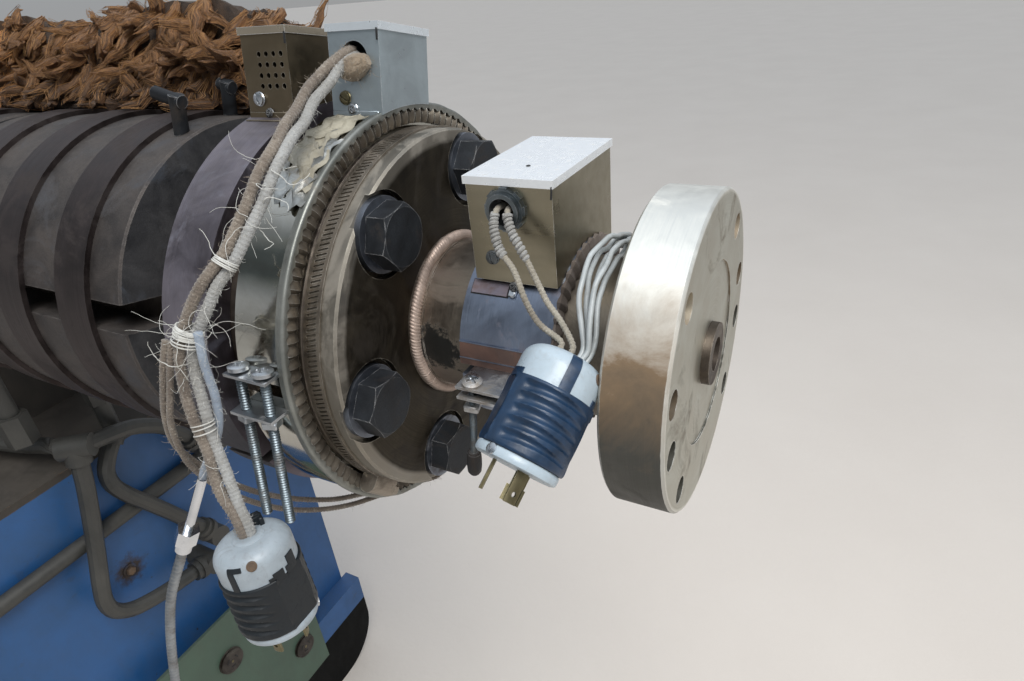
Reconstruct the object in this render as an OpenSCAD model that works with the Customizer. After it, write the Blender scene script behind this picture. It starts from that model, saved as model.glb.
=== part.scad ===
// Discharge-end section of a single-screw plastic extruder on its base.
// The barrel axis runs along X. Stations are measured back from the face of the end flange.

/* [Machine] */
// Height of the barrel axis above the floor
axis_h = 1067; // [950:1:1200]
// Radius of the melt passage in the adapter
melt_r = 11; // [8:0.5:16]
// Clearance between rings and the round pieces that they hold
ring_fit = 0.2; // [0.1:0.05:0.4]

/* [End flange and neck] */
// Outer radius of the end flange
end_r = 101.6; // [98:0.1:110]
// Thickness of the end flange
end_t = 36.6; // [28:0.2:45]
// Radius of the circle that carries the end flange holes
end_hole_ring = 86.8; // [82:0.1:90]
// Radius of each hole in the end flange
end_hole_r = 8.5; // [5:0.1:9.5]
// Angle from the horizontal to the close pairs of holes
end_pair_angle = 11.25; // [9:0.25:15]
// Radius of the shallow step on the end flange face
end_step_r = 58.5; // [50:0.5:65]
// Depth of the shallow step on the end flange face
end_step_t = 1.2; // [0.5:0.1:2]
// Outer radius of the threaded outlet nipple
nipple_r = 20; // [18:0.5:24]
// Length of nipple that stands out of the end flange
nipple_out = 4; // [3:0.5:20]
// Outer radius of the neck tube
neck_r = 53.5; // [48:0.5:57]
// Length of the neck tube between the flanges
neck_len = 150.5; // [140:0.5:170]
// Radial width of the weld at the root of the neck
weld_w = 7; // [4:0.5:9]
// Chamfer on the edges of the turned flanges
chamfer = 1.5; // [0.5:0.5:3]

/* [Head flanges] */
// Outer radius of the head flange and of the flanges behind it
head_r = 131; // [126:0.5:134]
// Thickness of the head flange
head_t = 25.4; // [24:0.2:40]
// Thickness of the adapter ring behind the head flange
adapter_t = 49; // [46:0.5:70]
// Thickness of the barrel flange
barrel_flange_t = 60; // [58:0.5:80]
// Radius of the bolt circle
bolt_ring = 105.5; // [100:0.5:106]
// Angle of the first bolt from the horizontal
bolt_angle = 7; // [0:1:59]
// Number of bolts
bolt_n = 6; // [4:1:8]
// Shank radius of the head bolts
bolt_r = 12; // [10:0.1:12.7]
// Width across flats of the bolt heads
bolt_flats = 37; // [32:0.1:38]
// Height of the bolt heads
bolt_head_t = 15; // [12:0.5:18]
// Radius of the bolt washers
washer_r = 24; // [22:0.1:25]
// Thickness of the bolt washers
washer_t = 4.5; // [2:0.1:5]
// Depth of the spot faces that the washers sit in
spot_t = 4.5; // [3:0.1:8]
// Clearance of the washers in their spot faces
spot_fit = 3.5; // [3:0.1:4.5]
// Clearance of the bolt shanks in their holes
bolt_fit = 0.8; // [0.5:0.1:1.2]

/* [Hose clamp] */
// Width of the slotted clamp band
clamp_w = 12.7; // [8:0.1:13.5]
// Thickness of the slotted clamp band
clamp_t = 1.2; // [0.8:0.1:2]
// Number of slots in the clamp band
clamp_slots = 88; // [40:1:90]
// Distance between the slots
clamp_pitch = 3.2; // [3:0.1:3.4]
// Length of each slot
slot_len = 8; // [5:0.5:9]
// Width of each slot
slot_w = 1.4; // [1:0.1:1.8]
// Slant of the slots
slot_slant = 18; // [0:1:25]
// Angle of the worm housing, from the far side upwards
housing_angle = 222; // [200:1:250]
// Length of the worm housing
housing_len = 26; // [20:1:34]

/* [Band heaters] */
// Radius of the middle heater
head_heater_r = 146; // [142:0.5:150]
// Width of the middle heater
head_heater_w = 36.4; // [32:0.2:40]
// Radius of the rear heater
flange_heater_r = 149; // [144:0.5:152]
// Width of the rear heater
flange_heater_w = 41; // [36:0.5:44]
// Radius of the neck heater
neck_heater_r = 66; // [64:0.5:68]
// Width of the neck heater
neck_heater_w = 63; // [58:0.5:70]
// Station of the front edge of the neck heater
neck_heater_s = 80; // [78:0.5:86]
// Thickness of the sheet around each heater
shell_t = 2.5; // [1:0.1:4]
// Teeth on the ceramic edge of the middle heater
head_teeth = 112; // [40:1:120]
// Teeth on the ceramic edge of the neck heater
neck_teeth = 44; // [24:1:56]
// Depth of the teeth on the ceramic edges
tooth_h = 7; // [4:0.5:9]
// Gap between the two ends of each heater
clamp_gap = 8; // [4:0.5:12]
// Height of the middle heater's clamp above the axis
clamp_z = 12.5; // [5:0.5:20]
// Distance over the two clamp ears of the middle heater
ear_span = 27; // [24:1:40]
// Reach of the clamp ears beyond the middle heater
ear_reach = 11; // [11:0.5:20]
// Thickness of the clamp ears
ear_t = 2; // [1.5:0.5:4]
// Reach of the clamp ears beyond the neck heater
neck_ear_reach = 25; // [23:0.5:32]
// Radius of the threaded clamp rods
rod_r = 3; // [2.5:0.1:4]
// Angle by which the clamp rods lean out at their lower ends
rod_lean = 8; // [0:0.5:9]
// Length of the threaded clamp rods
rod_len = 104; // [90:1:120]

/* [Terminal boxes] */
// Width of the neck box along the barrel
neck_box_w = 55; // [48:0.5:60]
// Length of the neck box across the barrel
neck_box_l = 91.6; // [84:0.5:100]
// Height of the neck box top above the axis
neck_box_top = 118.9; // [110:0.5:126]
// Height of the neck box lower edge above the axis
neck_box_low = 54.2; // [50:0.5:60]
// Width of the two rear boxes along the barrel
rear_box_w = 41; // [36:0.5:42]
// Length of the two rear boxes across the barrel
rear_box_l = 52; // [50:0.5:70]
// Height of the rear box tops above the axis
rear_box_top = 197; // [190:0.5:206]
// Height of the rear box lower edges above the axis
rear_box_low = 140; // [136:0.5:141]
// Sheet thickness of the boxes
sheet_t = 1.2; // [1:0.1:2]
// Depth of the folded lip on the covers
lip_h = 3.5; // [3:0.5:8]
// Tilt of the middle box on its heater
head_box_tilt = 11.5; // [0:0.5:12]
// Tilt of the rear box on its heater
flange_box_tilt = 10; // [0:0.5:12]
// Sideways offset of the middle box
head_box_y = 11; // [0:1:14]
// Sideways offset of the rear box
flange_box_y = -2; // [-6:1:6]
// Radius of the cable hole in the middle box
cable_hole_r = 11; // [9:0.5:13]
// Radius of the vent holes in the rear box
vent_r = 1.7; // [1.2:0.1:2]
// Distance between the vent holes
vent_pitch = 6.6; // [5:0.1:7]
// Vent holes along each side of their square
vent_n = 4; // [2:1:4]

/* [Barrel] */
// Outer radius of the barrel tube
barrel_r = 97; // [90:0.5:100]
// Length of bare barrel in front of the first zone
barrel_bare = 56; // [40:1:80]
// Number of heater and cooler zones
zone_n = 4; // [2:1:4]
// Length of each zone
zone_len = 280; // [250:1:300]
// Space between two zones
zone_gap = 15; // [13:0.5:25]
// Outer radius of the cast half shells
cast_r = 137; // [130:0.5:140]
// Width of the gap between the half shells
split_gap = 22; // [12:0.5:30]
// Angle by which the split leans from level
split_lean = 12; // [0:1:20]
// Width of the steel straps
strap_w = 37; // [30:0.5:40]
// Thickness of the steel straps
strap_t = 4; // [2:0.5:6]
// Distance from the front of a zone to its first strap
strap_first = 34; // [20:1:40]
// Number of straps on each zone
strap_n = 3; // [1:1:3]
// Distance between the straps of a zone
strap_pitch = 85; // [60:1:90]
// Thickness of the rear flange of the barrel
rear_flange_t = 45; // [30:1:60]
// Thickness of the support plates
support_t = 12; // [8:0.5:12.5]
// Width of the support plates
support_w = 260; // [220:1:300]

/* [Insulation] */
// Thickness of the insulation blanket
blanket_t = 95; // [60:1:110]
// Angle from the top of the barrel to the near edge of the blanket
blanket_edge = 16; // [15:1:30]
// Reach of the blanket in front of the first zone
blanket_reach = 8; // [2:1:50]

/* [Base] */
// Height of the base top above the floor
base_top_h = 777; // [700:1:800]
// Distance from the end flange face to the front of the base
base_s = 782; // [740:1:840]
// Half width of the base cabinet
base_half_w = 280; // [250:1:300]
// Thickness of the base top plate
base_top_t = 10; // [6:0.5:16]
// Thickness of the base side and end panels
base_panel_t = 6; // [3:0.5:10]
// Height of the skids
skid_h = 135; // [100:1:160]
// Width of the skids along the barrel
skid_w = 90; // [70:1:120]
// Half length of the skids and rails across the base
skid_half_l = 295; // [285:1:330]
// Radius of the rounded lower corners of the skids
skid_round = 95; // [60:1:98]
// Height of the rails
rail_h = 60; // [40:1:80]
// Depth of the rails in front of the end panels
rail_d = 34; // [30:0.5:50]

/* [Outlet panel] */
// Side of the square outlet panel
outlet_side = 305; // [280:1:320]
// Height of the outlet panel lower edge above the floor
outlet_low = 107; // [80:1:130]
// Sideways place of the outlet panel centre
outlet_y = 15; // [-40:1:60]
// Sideways distance from the panel centre to the middle of the outlets
outlet_shift = 43; // [0:1:50]
// Thickness of the outlet panel
outlet_t = 5; // [2:0.5:6]
// Distance between two outlets
outlet_pitch = 130; // [110:1:150]
// Radius of each outlet
outlet_r = 22; // [18:0.5:26]

/* [Water pipes] */
// Outer radius of the water pipes
pipe_r = 10.7; // [8:0.1:13]
// Radius of the pipe fittings
fitting_r = 15; // [13:0.5:16]
// Distance of the cross pipe below the base top
cross_pipe_drop = 103; // [100:1:125]
// Length of the cross pipe
cross_pipe_len = 400; // [300:5:500]

/* [Hidden] */

eps = 0.01;
over = 1;
round_fn = 96;
small_fn = 48;
tiny = 0.3;

// Stations along the barrel, back from the end flange face
neck_s = end_t;
head_s = neck_s + neck_len;
adapter_s = head_s + head_t;
barrel_flange_s = adapter_s + adapter_t;
barrel_s = barrel_flange_s + barrel_flange_t;
zone_s = barrel_s + barrel_bare;
zone_step = zone_len + zone_gap;
barrel_end_s = zone_s + zone_n * zone_step;
base_end_s = barrel_end_s + rear_flange_t;
last_s = base_end_s + rail_d;

// The origin lies under the middle of the whole length
face_x = (last_s - nipple_out) / 2;

head_heater_s = adapter_s + 3.1;
flange_heater_s = barrel_flange_s + 12.5;
clamp_s = head_s + 11;
band_r = head_r + ring_fit + clamp_t;
cast_bore_r = barrel_r + ring_fit;

// Places a child with its Z axis pointing back along the barrel, X up and Y away
module along(s) {
    translate([face_x - s, 0, axis_h]) rotate([0, -90, 0]) children();
}

// Places a child on a circle, at an angle from the far side upwards
module around(r, angle) {
    translate([r * sin(angle), r * cos(angle), 0]) children();
}

module ring(s, len, r, hole) {
    along(s) difference() {
        cylinder(h = len, r = r, $fn = round_fn);
        translate([0, 0, -over]) cylinder(h = len + 2 * over, r = hole, $fn = round_fn);
    }
}

// A turned disc with both edges chamfered
module disc(len, r) {
    cylinder(h = chamfer, r1 = r - chamfer, r2 = r, $fn = round_fn);
    translate([0, 0, chamfer]) cylinder(h = len - 2 * chamfer, r = r, $fn = round_fn);
    translate([0, 0, len - chamfer]) cylinder(h = chamfer, r1 = r, r2 = r - chamfer, $fn = round_fn);
}

// A hexagon head with its corners turned off on the side away from the work
module hex_head(flats, h) {
    intersection() {
        cylinder(h = h, r = flats / sqrt(3), $fn = 6);
        cylinder(h = h, r1 = flats / 2 - tiny, r2 = flats / 2 - tiny + h * sqrt(3), $fn = small_fn);
    }
}

// Turns a child's Z axis to run from a point in a direction
module aim(p, d) {
    translate(p) rotate([0, acos(d[2] / norm(d)), atan2(d[1], d[0])]) children();
}

// Outlet end

module outlet_nipple() {
    color("gray") along(-nipple_out) difference() {
        cylinder(h = nipple_out + end_t, r = nipple_r, $fn = small_fn);
        translate([0, 0, -over]) cylinder(h = nipple_out + end_t + 2 * over, r = melt_r, $fn = small_fn);
    }
}

module end_holes() {
    for (i = [0 : 3]) around(end_hole_ring, 45 + 90 * i) hole_cut();
    for (side = [0, 180], lean = [-1, 1]) around(end_hole_ring, side + lean * end_pair_angle) hole_cut();
}

module hole_cut() {
    translate([0, 0, -over]) cylinder(h = end_t + 2 * over, r = end_hole_r, $fn = small_fn);
}

module end_flange() {
    color("darkkhaki") along(0) difference() {
        disc(end_t, end_r);
        end_holes();
        translate([0, 0, -over]) cylinder(h = end_t + 2 * over, r = nipple_r + ring_fit, $fn = small_fn);
        translate([0, 0, -over]) cylinder(h = end_step_t + over, r = end_step_r, $fn = round_fn);
    }
}

module adapter_neck() {
    color("dimgray") along(neck_s) difference() {
        union() {
            cylinder(h = neck_len, r = neck_r, $fn = round_fn);
            rotate_extrude($fn = round_fn) translate([neck_r, neck_len - weld_w]) difference() {
                translate([-eps, 0]) square([weld_w, weld_w]);
                translate([weld_w, 0]) circle(r = weld_w - 1, $fn = small_fn);
            }
        }
        translate([0, 0, -over]) cylinder(h = neck_len + 2 * over, r = melt_r, $fn = small_fn);
    }
}

// Head flanges and bolts

// How far each bolt head was turned when it was tightened
bolt_turns = [10, 42, 20, 33, 17, 50, 27, 5];

module at_bolts() {
    for (i = [0 : bolt_n - 1])
        around(bolt_ring, bolt_angle + i * 360 / bolt_n) rotate([0, 0, bolt_turns[i]]) children();
}

module bolt_hole(len) {
    translate([0, 0, -over]) cylinder(h = len + 2 * over, r = bolt_r + bolt_fit, $fn = small_fn);
}

module head_flange() {
    color("rosybrown") along(head_s) difference() {
        disc(head_t, head_r);
        translate([0, 0, -over]) cylinder(h = head_t + 2 * over, r = melt_r, $fn = small_fn);
        at_bolts() {
            bolt_hole(head_t);
            translate([0, 0, -over]) cylinder(h = spot_t + over, r = washer_r + spot_fit, $fn = small_fn);
        }
    }
}

// A solid ring stands for the ring and the end of the screw or barrel inside it
module solid_ring(s, len) {
    along(s) difference() {
        disc(len, head_r);
        at_bolts() bolt_hole(len);
    }
}

module adapter_ring() {
    color("dimgray") solid_ring(adapter_s, adapter_t);
}

module barrel_flange() {
    color("dimgray") solid_ring(barrel_flange_s, barrel_flange_t);
}

washer_s = head_s + spot_t - washer_t;

module head_bolts() {
    color("dimgray") along(washer_s) at_bolts() {
        translate([0, 0, -bolt_head_t / 2])
            cylinder(h = barrel_s - washer_s + bolt_head_t / 2, r = bolt_r, $fn = small_fn);
        translate([0, 0, -bolt_head_t]) hex_head(bolt_flats, bolt_head_t);
    }
}

module head_washers() {
    color("gray") along(washer_s) at_bolts() difference() {
        cylinder(h = washer_t, r = washer_r, $fn = small_fn);
        translate([0, 0, -over]) cylinder(h = washer_t + 2 * over, r = bolt_r + bolt_fit, $fn = small_fn);
    }
}

// Slanted slots run along the band from the worm housing
module clamp_slots_cut() {
    for (i = [0 : clamp_slots - 1])
        rotate([0, 0, 90 - housing_angle + (housing_len / 2 + (i + 1) * clamp_pitch) * 180 / (PI * band_r)])
            translate([band_r, 0, clamp_w / 2]) rotate([slot_slant, 0, 0])
                cube([3 * clamp_t, slot_w, slot_len], center = true);
}

module clamp_band() {
    color("silver") along(clamp_s) {
        difference() {
            cylinder(h = clamp_w, r = band_r, $fn = round_fn);
            translate([0, 0, -over])
                cylinder(h = clamp_w + 2 * over, r = head_r + ring_fit, $fn = round_fn);
            clamp_slots_cut();
        }
        around(band_r - clamp_t / 2, housing_angle) rotate([0, 0, 90 - housing_angle]) {
            translate([0, -housing_len / 2, 0]) cube([clamp_w / 2, housing_len, clamp_w]);
            translate([clamp_w / 2, -housing_len / 2, clamp_w / 2]) rotate([-90, 0, 0]) {
                cylinder(h = housing_len, r = clamp_w / 2, $fn = small_fn);
                translate([0, 0, -8]) cylinder(h = 10, r = 5, $fn = 6);
            }
        }
    }
}

// Band heaters

function tooth_points(root, tip, n) = [
    for (i = [0 : n - 1], k = [0 : 3])
        let (a = (i + [0.05, 0.15, 0.75, 0.85][k]) * 360 / n, r = [root, tip, tip, root][k])
            [r * cos(a), r * sin(a)]
];

module ceramic_edge(s, len, bore, tip, n) {
    along(s) difference() {
        linear_extrude(height = len) polygon(tooth_points(tip - tooth_h, tip, n));
        translate([0, 0, -over]) cylinder(h = len + 2 * over, r = bore, $fn = round_fn);
    }
}

// A band around the barrel with a gap at its clamp
module heater_band(s, len, r, bore, gap_z) {
    along(s) difference() {
        cylinder(h = len, r = r, $fn = round_fn);
        translate([0, 0, -over]) cylinder(h = len + 2 * over, r = bore, $fn = round_fn);
        translate([gap_z - clamp_gap / 2, -r - over, -over])
            cube([clamp_gap, r + over - bore / 2, len + 2 * over]);
    }
}

module head_heater() {
    color("lightsteelblue")
        heater_band(head_heater_s, head_heater_w, head_heater_r, head_r + ring_fit, clamp_z);
}

module head_heater_ceramic() {
    color("tan") ceramic_edge(adapter_s, head_heater_s - adapter_s,
        head_r + ring_fit, head_heater_r - shell_t, head_teeth);
}

// A clamp ear whose top face is at height z, seated on its heater
module ear(s, w, r, z, reach) {
    along(s) difference() {
        translate([z - ear_t, -r - reach, 0]) cube([ear_t, reach + 10, w]);
        translate([0, 0, -over]) cylinder(h = w + 2 * over, r = r + tiny / 2, $fn = round_fn);
    }
}

// The lower ear reaches further, because the rods lean out
module head_heater_ears() {
    color("silver") difference() {
        for (side = [0, 1])
            ear(head_heater_s + over, head_heater_w - 2 * over, head_heater_r,
                clamp_z + ear_span / 2 - side * (ear_span - ear_t),
                ear_reach + side * ear_span * tan(rod_lean));
        at_rods() translate([0, 0, -rod_len]) cylinder(h = 2 * rod_len, r = rod_r + tiny, $fn = small_fn);
    }
}

// The rods hang from the upper ear and lean out at their lower ends
module at_rods() {
    for (ds = [8, head_heater_w - 8])
        translate([face_x - head_heater_s - ds, -head_heater_r - rod_r - 1.5,
            axis_h + clamp_z + ear_span / 2]) rotate([-rod_lean, 0, 0]) children();
}

// The lean lifts the far edge of a screw head off the ear by this much
head_lift = 2 * rod_r * sin(rod_lean) + eps;

module head_heater_rods() {
    color("silver") at_rods() {
        translate([0, 0, -rod_len]) cylinder(h = rod_len + over, r = rod_r, $fn = small_fn);
        translate([0, 0, head_lift]) cylinder(h = 3.5, r1 = 2 * rod_r, r2 = 1.4 * rod_r, $fn = small_fn);
        translate([0, 0, -ear_span - 7]) cylinder(h = 5, r = 1.9 * rod_r, $fn = 6);
    }
}

module flange_heater() {
    color("rosybrown")
        heater_band(flange_heater_s, flange_heater_w, flange_heater_r, head_r + ring_fit, -head_r / 2);
}

module neck_heater() {
    color("slategray")
        heater_band(neck_heater_s, neck_heater_w, neck_heater_r, neck_r + ring_fit, neck_clamp_z);
}

module neck_heater_ceramic() {
    color("saddlebrown") ceramic_edge(neck_heater_s - 3, 3,
        neck_r + ring_fit, neck_heater_r + 2, neck_teeth);
}

neck_clamp_z = -2;
neck_ear_w = 31;
neck_ear_s = neck_heater_s + 21;
neck_ear_z = [2.5, -5];
neck_screw_len = 72;

module neck_heater_ears() {
    color("silver") difference() {
        for (z = neck_ear_z)
            ear(neck_ear_s, neck_ear_w, neck_heater_r, z, neck_ear_reach);
        at_neck_screw() translate([0, 0, -neck_screw_len])
            cylinder(h = 2 * neck_screw_len, r = 2.5 + tiny, $fn = small_fn);
    }
}

module at_neck_screw() {
    translate([face_x - neck_ear_s - 22, -neck_heater_r - 19.5, axis_h + neck_ear_z[0]])
        rotate([5.6, 9.6, 0]) children();
}

module neck_heater_screws() {
    color("silver") at_neck_screw() {
        translate([0, 0, -neck_screw_len]) cylinder(h = neck_screw_len + 2, r = 2.5, $fn = small_fn);
        translate([0, 0, 1.2]) cylinder(h = 3, r1 = 6, r2 = 4, $fn = small_fn);
        translate([0, 0, -22]) cylinder(h = 5, r = 5, $fn = 6);
        translate([0, 0, -neck_screw_len - 4]) cylinder(h = 24, r = 5, $fn = small_fn);
    }
}

// Terminal boxes

// An open-bottomed sheet box
module sheet_box(s, w, l, low, top) {
    along(s) difference() {
        translate([low, -l / 2, 0]) cube([top - low, l, w]);
        translate([low - over, -l / 2 + sheet_t, sheet_t])
            cube([top - low - sheet_t + over, l - 2 * sheet_t, w - 2 * sheet_t]);
    }
}

// The round of a heater, cut out of the box that stands on it
module seat(s, w, r) {
    along(s - over) cylinder(h = w + 2 * over, r = r + ring_fit, $fn = round_fn);
}

module cover(s, w, l, top) {
    along(s) difference() {
        translate([top - lip_h, -l / 2 - sheet_t, -sheet_t])
            cube([lip_h + sheet_t, l + 2 * sheet_t, w + 2 * sheet_t]);
        translate([top - lip_h - over, -l / 2, 0]) cube([lip_h + over, l, w]);
    }
}

neck_box_s = neck_heater_s + 0.6;
head_box_s = head_heater_s - 4.6;
flange_box_s = flange_heater_s;
neck_hole = [neck_box_w / 2 + 1.5, neck_box_top - 18];
head_hole = [rear_box_w / 2, rear_box_top - 21.5];
vents = [6, rear_box_top - 36.5];

// Tilts a box about the top of the heater of radius r that carries it
module tilted(angle, r) {
    translate([0, 0, axis_h + r]) rotate([-angle, 0, 0]) translate([0, 0, -axis_h - r]) children();
}

module side_hole(s, at, l, r) {
    along(s + at[0]) translate([at[1], 0, 0]) rotate([90, 0, 0]) cylinder(h = l, r = r, $fn = small_fn);
}

module neck_box() {
    color("darkkhaki") difference() {
        sheet_box(neck_box_s, neck_box_w, neck_box_l, neck_box_low, neck_box_top - sheet_t);
        side_hole(neck_box_s, neck_hole, neck_box_l, nipple_tube_r + tiny);
        seat(neck_box_s, neck_box_w, neck_heater_r);
    }
}

module head_box() {
    color("silver") difference() {
        tilted(head_box_tilt, head_heater_r) translate([0, head_box_y, 0]) difference() {
            sheet_box(head_box_s, rear_box_w, rear_box_l, rear_box_low, rear_box_top - sheet_t);
            side_hole(head_box_s, head_hole, rear_box_l, cable_hole_r);
        }
        seat(head_box_s, rear_box_w, head_heater_r);
    }
}

module flange_box() {
    color("tan") difference() {
        tilted(flange_box_tilt, flange_heater_r) translate([0, flange_box_y, 0]) difference() {
            sheet_box(flange_box_s, rear_box_w, rear_box_l, rear_box_low, rear_box_top - sheet_t);
            for (i = [0 : vent_n - 1], k = [0 : vent_n - 1])
                side_hole(flange_box_s, vents + vent_pitch * [i, k], rear_box_l, vent_r);
        }
        seat(flange_box_s, rear_box_w, flange_heater_r);
    }
}

module box_covers() {
    color("silver") {
        cover(neck_box_s, neck_box_w, neck_box_l, neck_box_top - sheet_t);
        tilted(head_box_tilt, head_heater_r) translate([0, head_box_y, 0])
            cover(head_box_s, rear_box_w, rear_box_l, rear_box_top - sheet_t);
        tilted(flange_box_tilt, flange_heater_r) translate([0, flange_box_y, 0])
            cover(flange_box_s, rear_box_w, rear_box_l, rear_box_top - sheet_t);
    }
}

nipple_tube_r = 10.4;
nipple_tube_bore = 7.9;
lock_nut_r = 13;

module conduit_nut() {
    color("silver") along(neck_box_s + neck_hole[0]) translate([neck_hole[1], -neck_box_l / 2, 0])
        rotate([90, 0, 0]) difference() {
            union() {
                cylinder(h = 4, r = lock_nut_r - 1, $fn = small_fn);
                for (a = [0 : 45 : 315]) rotate([0, 0, a]) translate([0, -2.5, 0]) cube([lock_nut_r, 5, 3]);
                translate([0, 0, -8]) cylinder(h = 15, r = nipple_tube_r, $fn = small_fn);
            }
            translate([0, 0, -9]) cylinder(h = 30, r = nipple_tube_bore, $fn = small_fn);
        }
}

// Barrel and zones

// The barrel is solid: it stands for the tube and the screw in it
module barrel() {
    color("dimgray") along(barrel_s) cylinder(h = barrel_end_s - barrel_s, r = barrel_r, $fn = round_fn);
}

module rear_flange() {
    color("dimgray") along(barrel_end_s) disc(rear_flange_t, cast_r);
}

// Two cast half shells with a gap between them, higher on the near side
module cast_heater(i) {
    color("gray") along(zone_s + i * zone_step) rotate([0, 0, split_lean]) difference() {
        disc(zone_len, cast_r);
        translate([0, 0, -over]) cylinder(h = zone_len + 2 * over, r = cast_bore_r, $fn = round_fn);
        translate([-split_gap / 2, -cast_r - over, -over])
            cube([split_gap, 2 * cast_r + 2 * over, zone_len + 2 * over]);
    }
}

module cast_heater_1() { cast_heater(0); }
module cast_heater_2() { cast_heater(1); }
module cast_heater_3() { cast_heater(2); }
module cast_heater_4() { cast_heater(3); }

module zone_straps() {
    color("rosybrown") for (i = [0 : zone_n - 1], k = [0 : strap_n - 1])
        ring(zone_s + i * zone_step + strap_first + k * strap_pitch, strap_w,
            cast_r + ring_fit + strap_t, cast_r + ring_fit);
}

stub_r = 5.5;
stub_h = 25;
stub_root = 8;
stub_tilt = 15;
stub_places = [[16, -30, 5 * stub_r], [27, 27, 2.4 * stub_r]];

// Two elbowed probe fittings that stand on the first shell: back, sideways and length of the elbow
module barrel_stubs() {
    color("dimgray") difference() {
        for (p = stub_places)
            translate([face_x - zone_s - p[0], p[1], axis_h + cast_r - stub_root])
            rotate([0, stub_tilt, 0]) {
                cylinder(h = stub_h + stub_root, r = stub_r, $fn = small_fn);
                translate([stub_r, 0, stub_h + stub_root / 2]) rotate([0, -90, 0])
                    cylinder(h = p[2], r = 0.9 * stub_r, $fn = small_fn);
            }
        along(zone_s) cylinder(h = zone_len, r = cast_r + ring_fit, $fn = round_fn);
    }
}

module barrel_supports() {
    color("steelblue") for (i = [2, 3]) {
        s = zone_s + i * zone_step - zone_gap / 2 - support_t / 2;
        difference() {
            translate([face_x - s - support_t, -support_w / 2, base_top_h])
                cube([support_t, support_w, axis_h - base_top_h]);
            along(s - over) cylinder(h = support_t + 2 * over, r = barrel_r + ring_fit, $fn = round_fn);
        }
    }
}

// The blanket lies on the far side of the barrel top, over the straps
module insulation_blanket() {
    r = cast_r + strap_t + blanket_t;
    front = zone_s - blanket_reach;
    color("peru") along(front) difference() {
        cylinder(h = barrel_end_s - front, r = r, $fn = round_fn);
        translate([0, 0, -over])
            cylinder(h = barrel_end_s - front + 2 * over, r = cast_r + strap_t + 2 * ring_fit,
                $fn = round_fn);
        translate([-2 * r, -2 * r, -over]) cube([2 * r, 4 * r, barrel_end_s - front + 2 * over]);
        rotate([0, 0, blanket_edge]) translate([-2 * r, -2 * r, -over])
            cube([4 * r, 2 * r, barrel_end_s - front + 2 * over]);
    }
}

// Base

module base_top() {
    color("royalblue") translate([face_x - base_end_s, -base_half_w, base_top_h - base_top_t])
        cube([base_end_s - base_s, 2 * base_half_w, base_top_t]);
}

panel_h = base_top_h - base_top_t - skid_h;

module base_end_panels() {
    color("royalblue") for (s = [base_s, base_end_s - base_panel_t])
        translate([face_x - s - base_panel_t, -base_half_w, skid_h])
            cube([base_panel_t, 2 * base_half_w, panel_h]);
}

module base_side_panels() {
    color("royalblue") for (y = [-base_half_w, base_half_w - base_panel_t])
        translate([face_x - base_end_s + base_panel_t, y, skid_h])
            cube([base_end_s - base_s - 2 * base_panel_t, base_panel_t, panel_h]);
}

module base_rails() {
    color("royalblue") for (s = [base_s - rail_d, base_end_s])
        translate([face_x - s - rail_d, -skid_half_l, skid_h])
            cube([rail_d, 2 * skid_half_l, rail_h]);
}

// A skid has its two lower corners rounded
module skids() {
    flat_l = skid_half_l - skid_round;
    color("black") for (s = [base_s - rail_d, base_end_s + rail_d - skid_w])
        translate([face_x - s - skid_w, 0, 0]) {
            translate([0, -flat_l, 0]) cube([skid_w, 2 * flat_l, skid_h]);
            translate([0, -skid_half_l, skid_round]) cube([skid_w, 2 * skid_half_l, skid_h - skid_round]);
            for (y = [-flat_l, flat_l]) intersection() {
                translate([0, y, skid_round]) rotate([0, 90, 0])
                    cylinder(h = skid_w, r = skid_round, $fn = round_fn);
                translate([0, y - skid_round - over, 0])
                    cube([skid_w, 2 * skid_round + 2 * over, skid_round]);
            }
        }
}

// Outlet panel

module outlet_at(i, k) {
    translate([face_x - base_s + rail_d, outlet_y + outlet_shift + (i - 0.5) * outlet_pitch,
        outlet_low + outlet_side / 2 + (k - 0.5) * outlet_pitch]) rotate([0, 90, 0]) children();
}

module outlet_panel() {
    color("darkseagreen") difference() {
        translate([face_x - base_s + rail_d, outlet_y - outlet_side / 2, outlet_low])
            cube([outlet_t, outlet_side, outlet_side]);
        for (i = [0, 1], k = [0, 1]) outlet_at(i, k)
            translate([0, 0, -over])
                cylinder(h = outlet_t + 2 * over, r = outlet_r + ring_fit, $fn = small_fn);
    }
}

module outlets() {
    color("saddlebrown") for (i = [0, 1], k = [0, 1]) outlet_at(i, k)
        cylinder(h = outlet_t + 2, r = outlet_r, $fn = small_fn);
}

// Swept tubes: a curve is laid through the route and a ring of points around each of its points

function unit(v) = v / norm(v);
function knot(p, i) = p[max(0, min(len(p) - 1, i))];
function curve_at(p, i, t) =
    let (a = knot(p, i - 1), b = p[i], c = p[i + 1], d = knot(p, i + 2))
        b + 0.5 * t * (c - a + t * (2 * a - 5 * b + 4 * c - d + t * (3 * (b - c) + d - a)));
function smooth(p, n) = [for (i = [0 : len(p) - 2], k = [0 : n - 1]) curve_at(p, i, k / n), p[len(p) - 1]];
function tangent(p, i) = unit(p[min(i + 1, len(p) - 1)] - p[max(i - 1, 0)]);
function ring_points(p, t, r, n) =
    let (u = unit(cross(t, [1, 0.12, 0.07])), v = cross(t, u))
        [for (k = [0 : n - 1]) p + r * cos(k * 360 / n) * u + r * sin(k * 360 / n) * v];
function tube_faces(m, n) = concat(
    [[for (k = [0 : n - 1]) k]],
    [for (i = [0 : m - 2], k = [0 : n - 1])
        [i * n + k, (i + 1) * n + k, (i + 1) * n + (k + 1) % n, i * n + (k + 1) % n]],
    [[for (k = [n - 1 : -1 : 0]) (m - 1) * n + k]]
);

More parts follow.
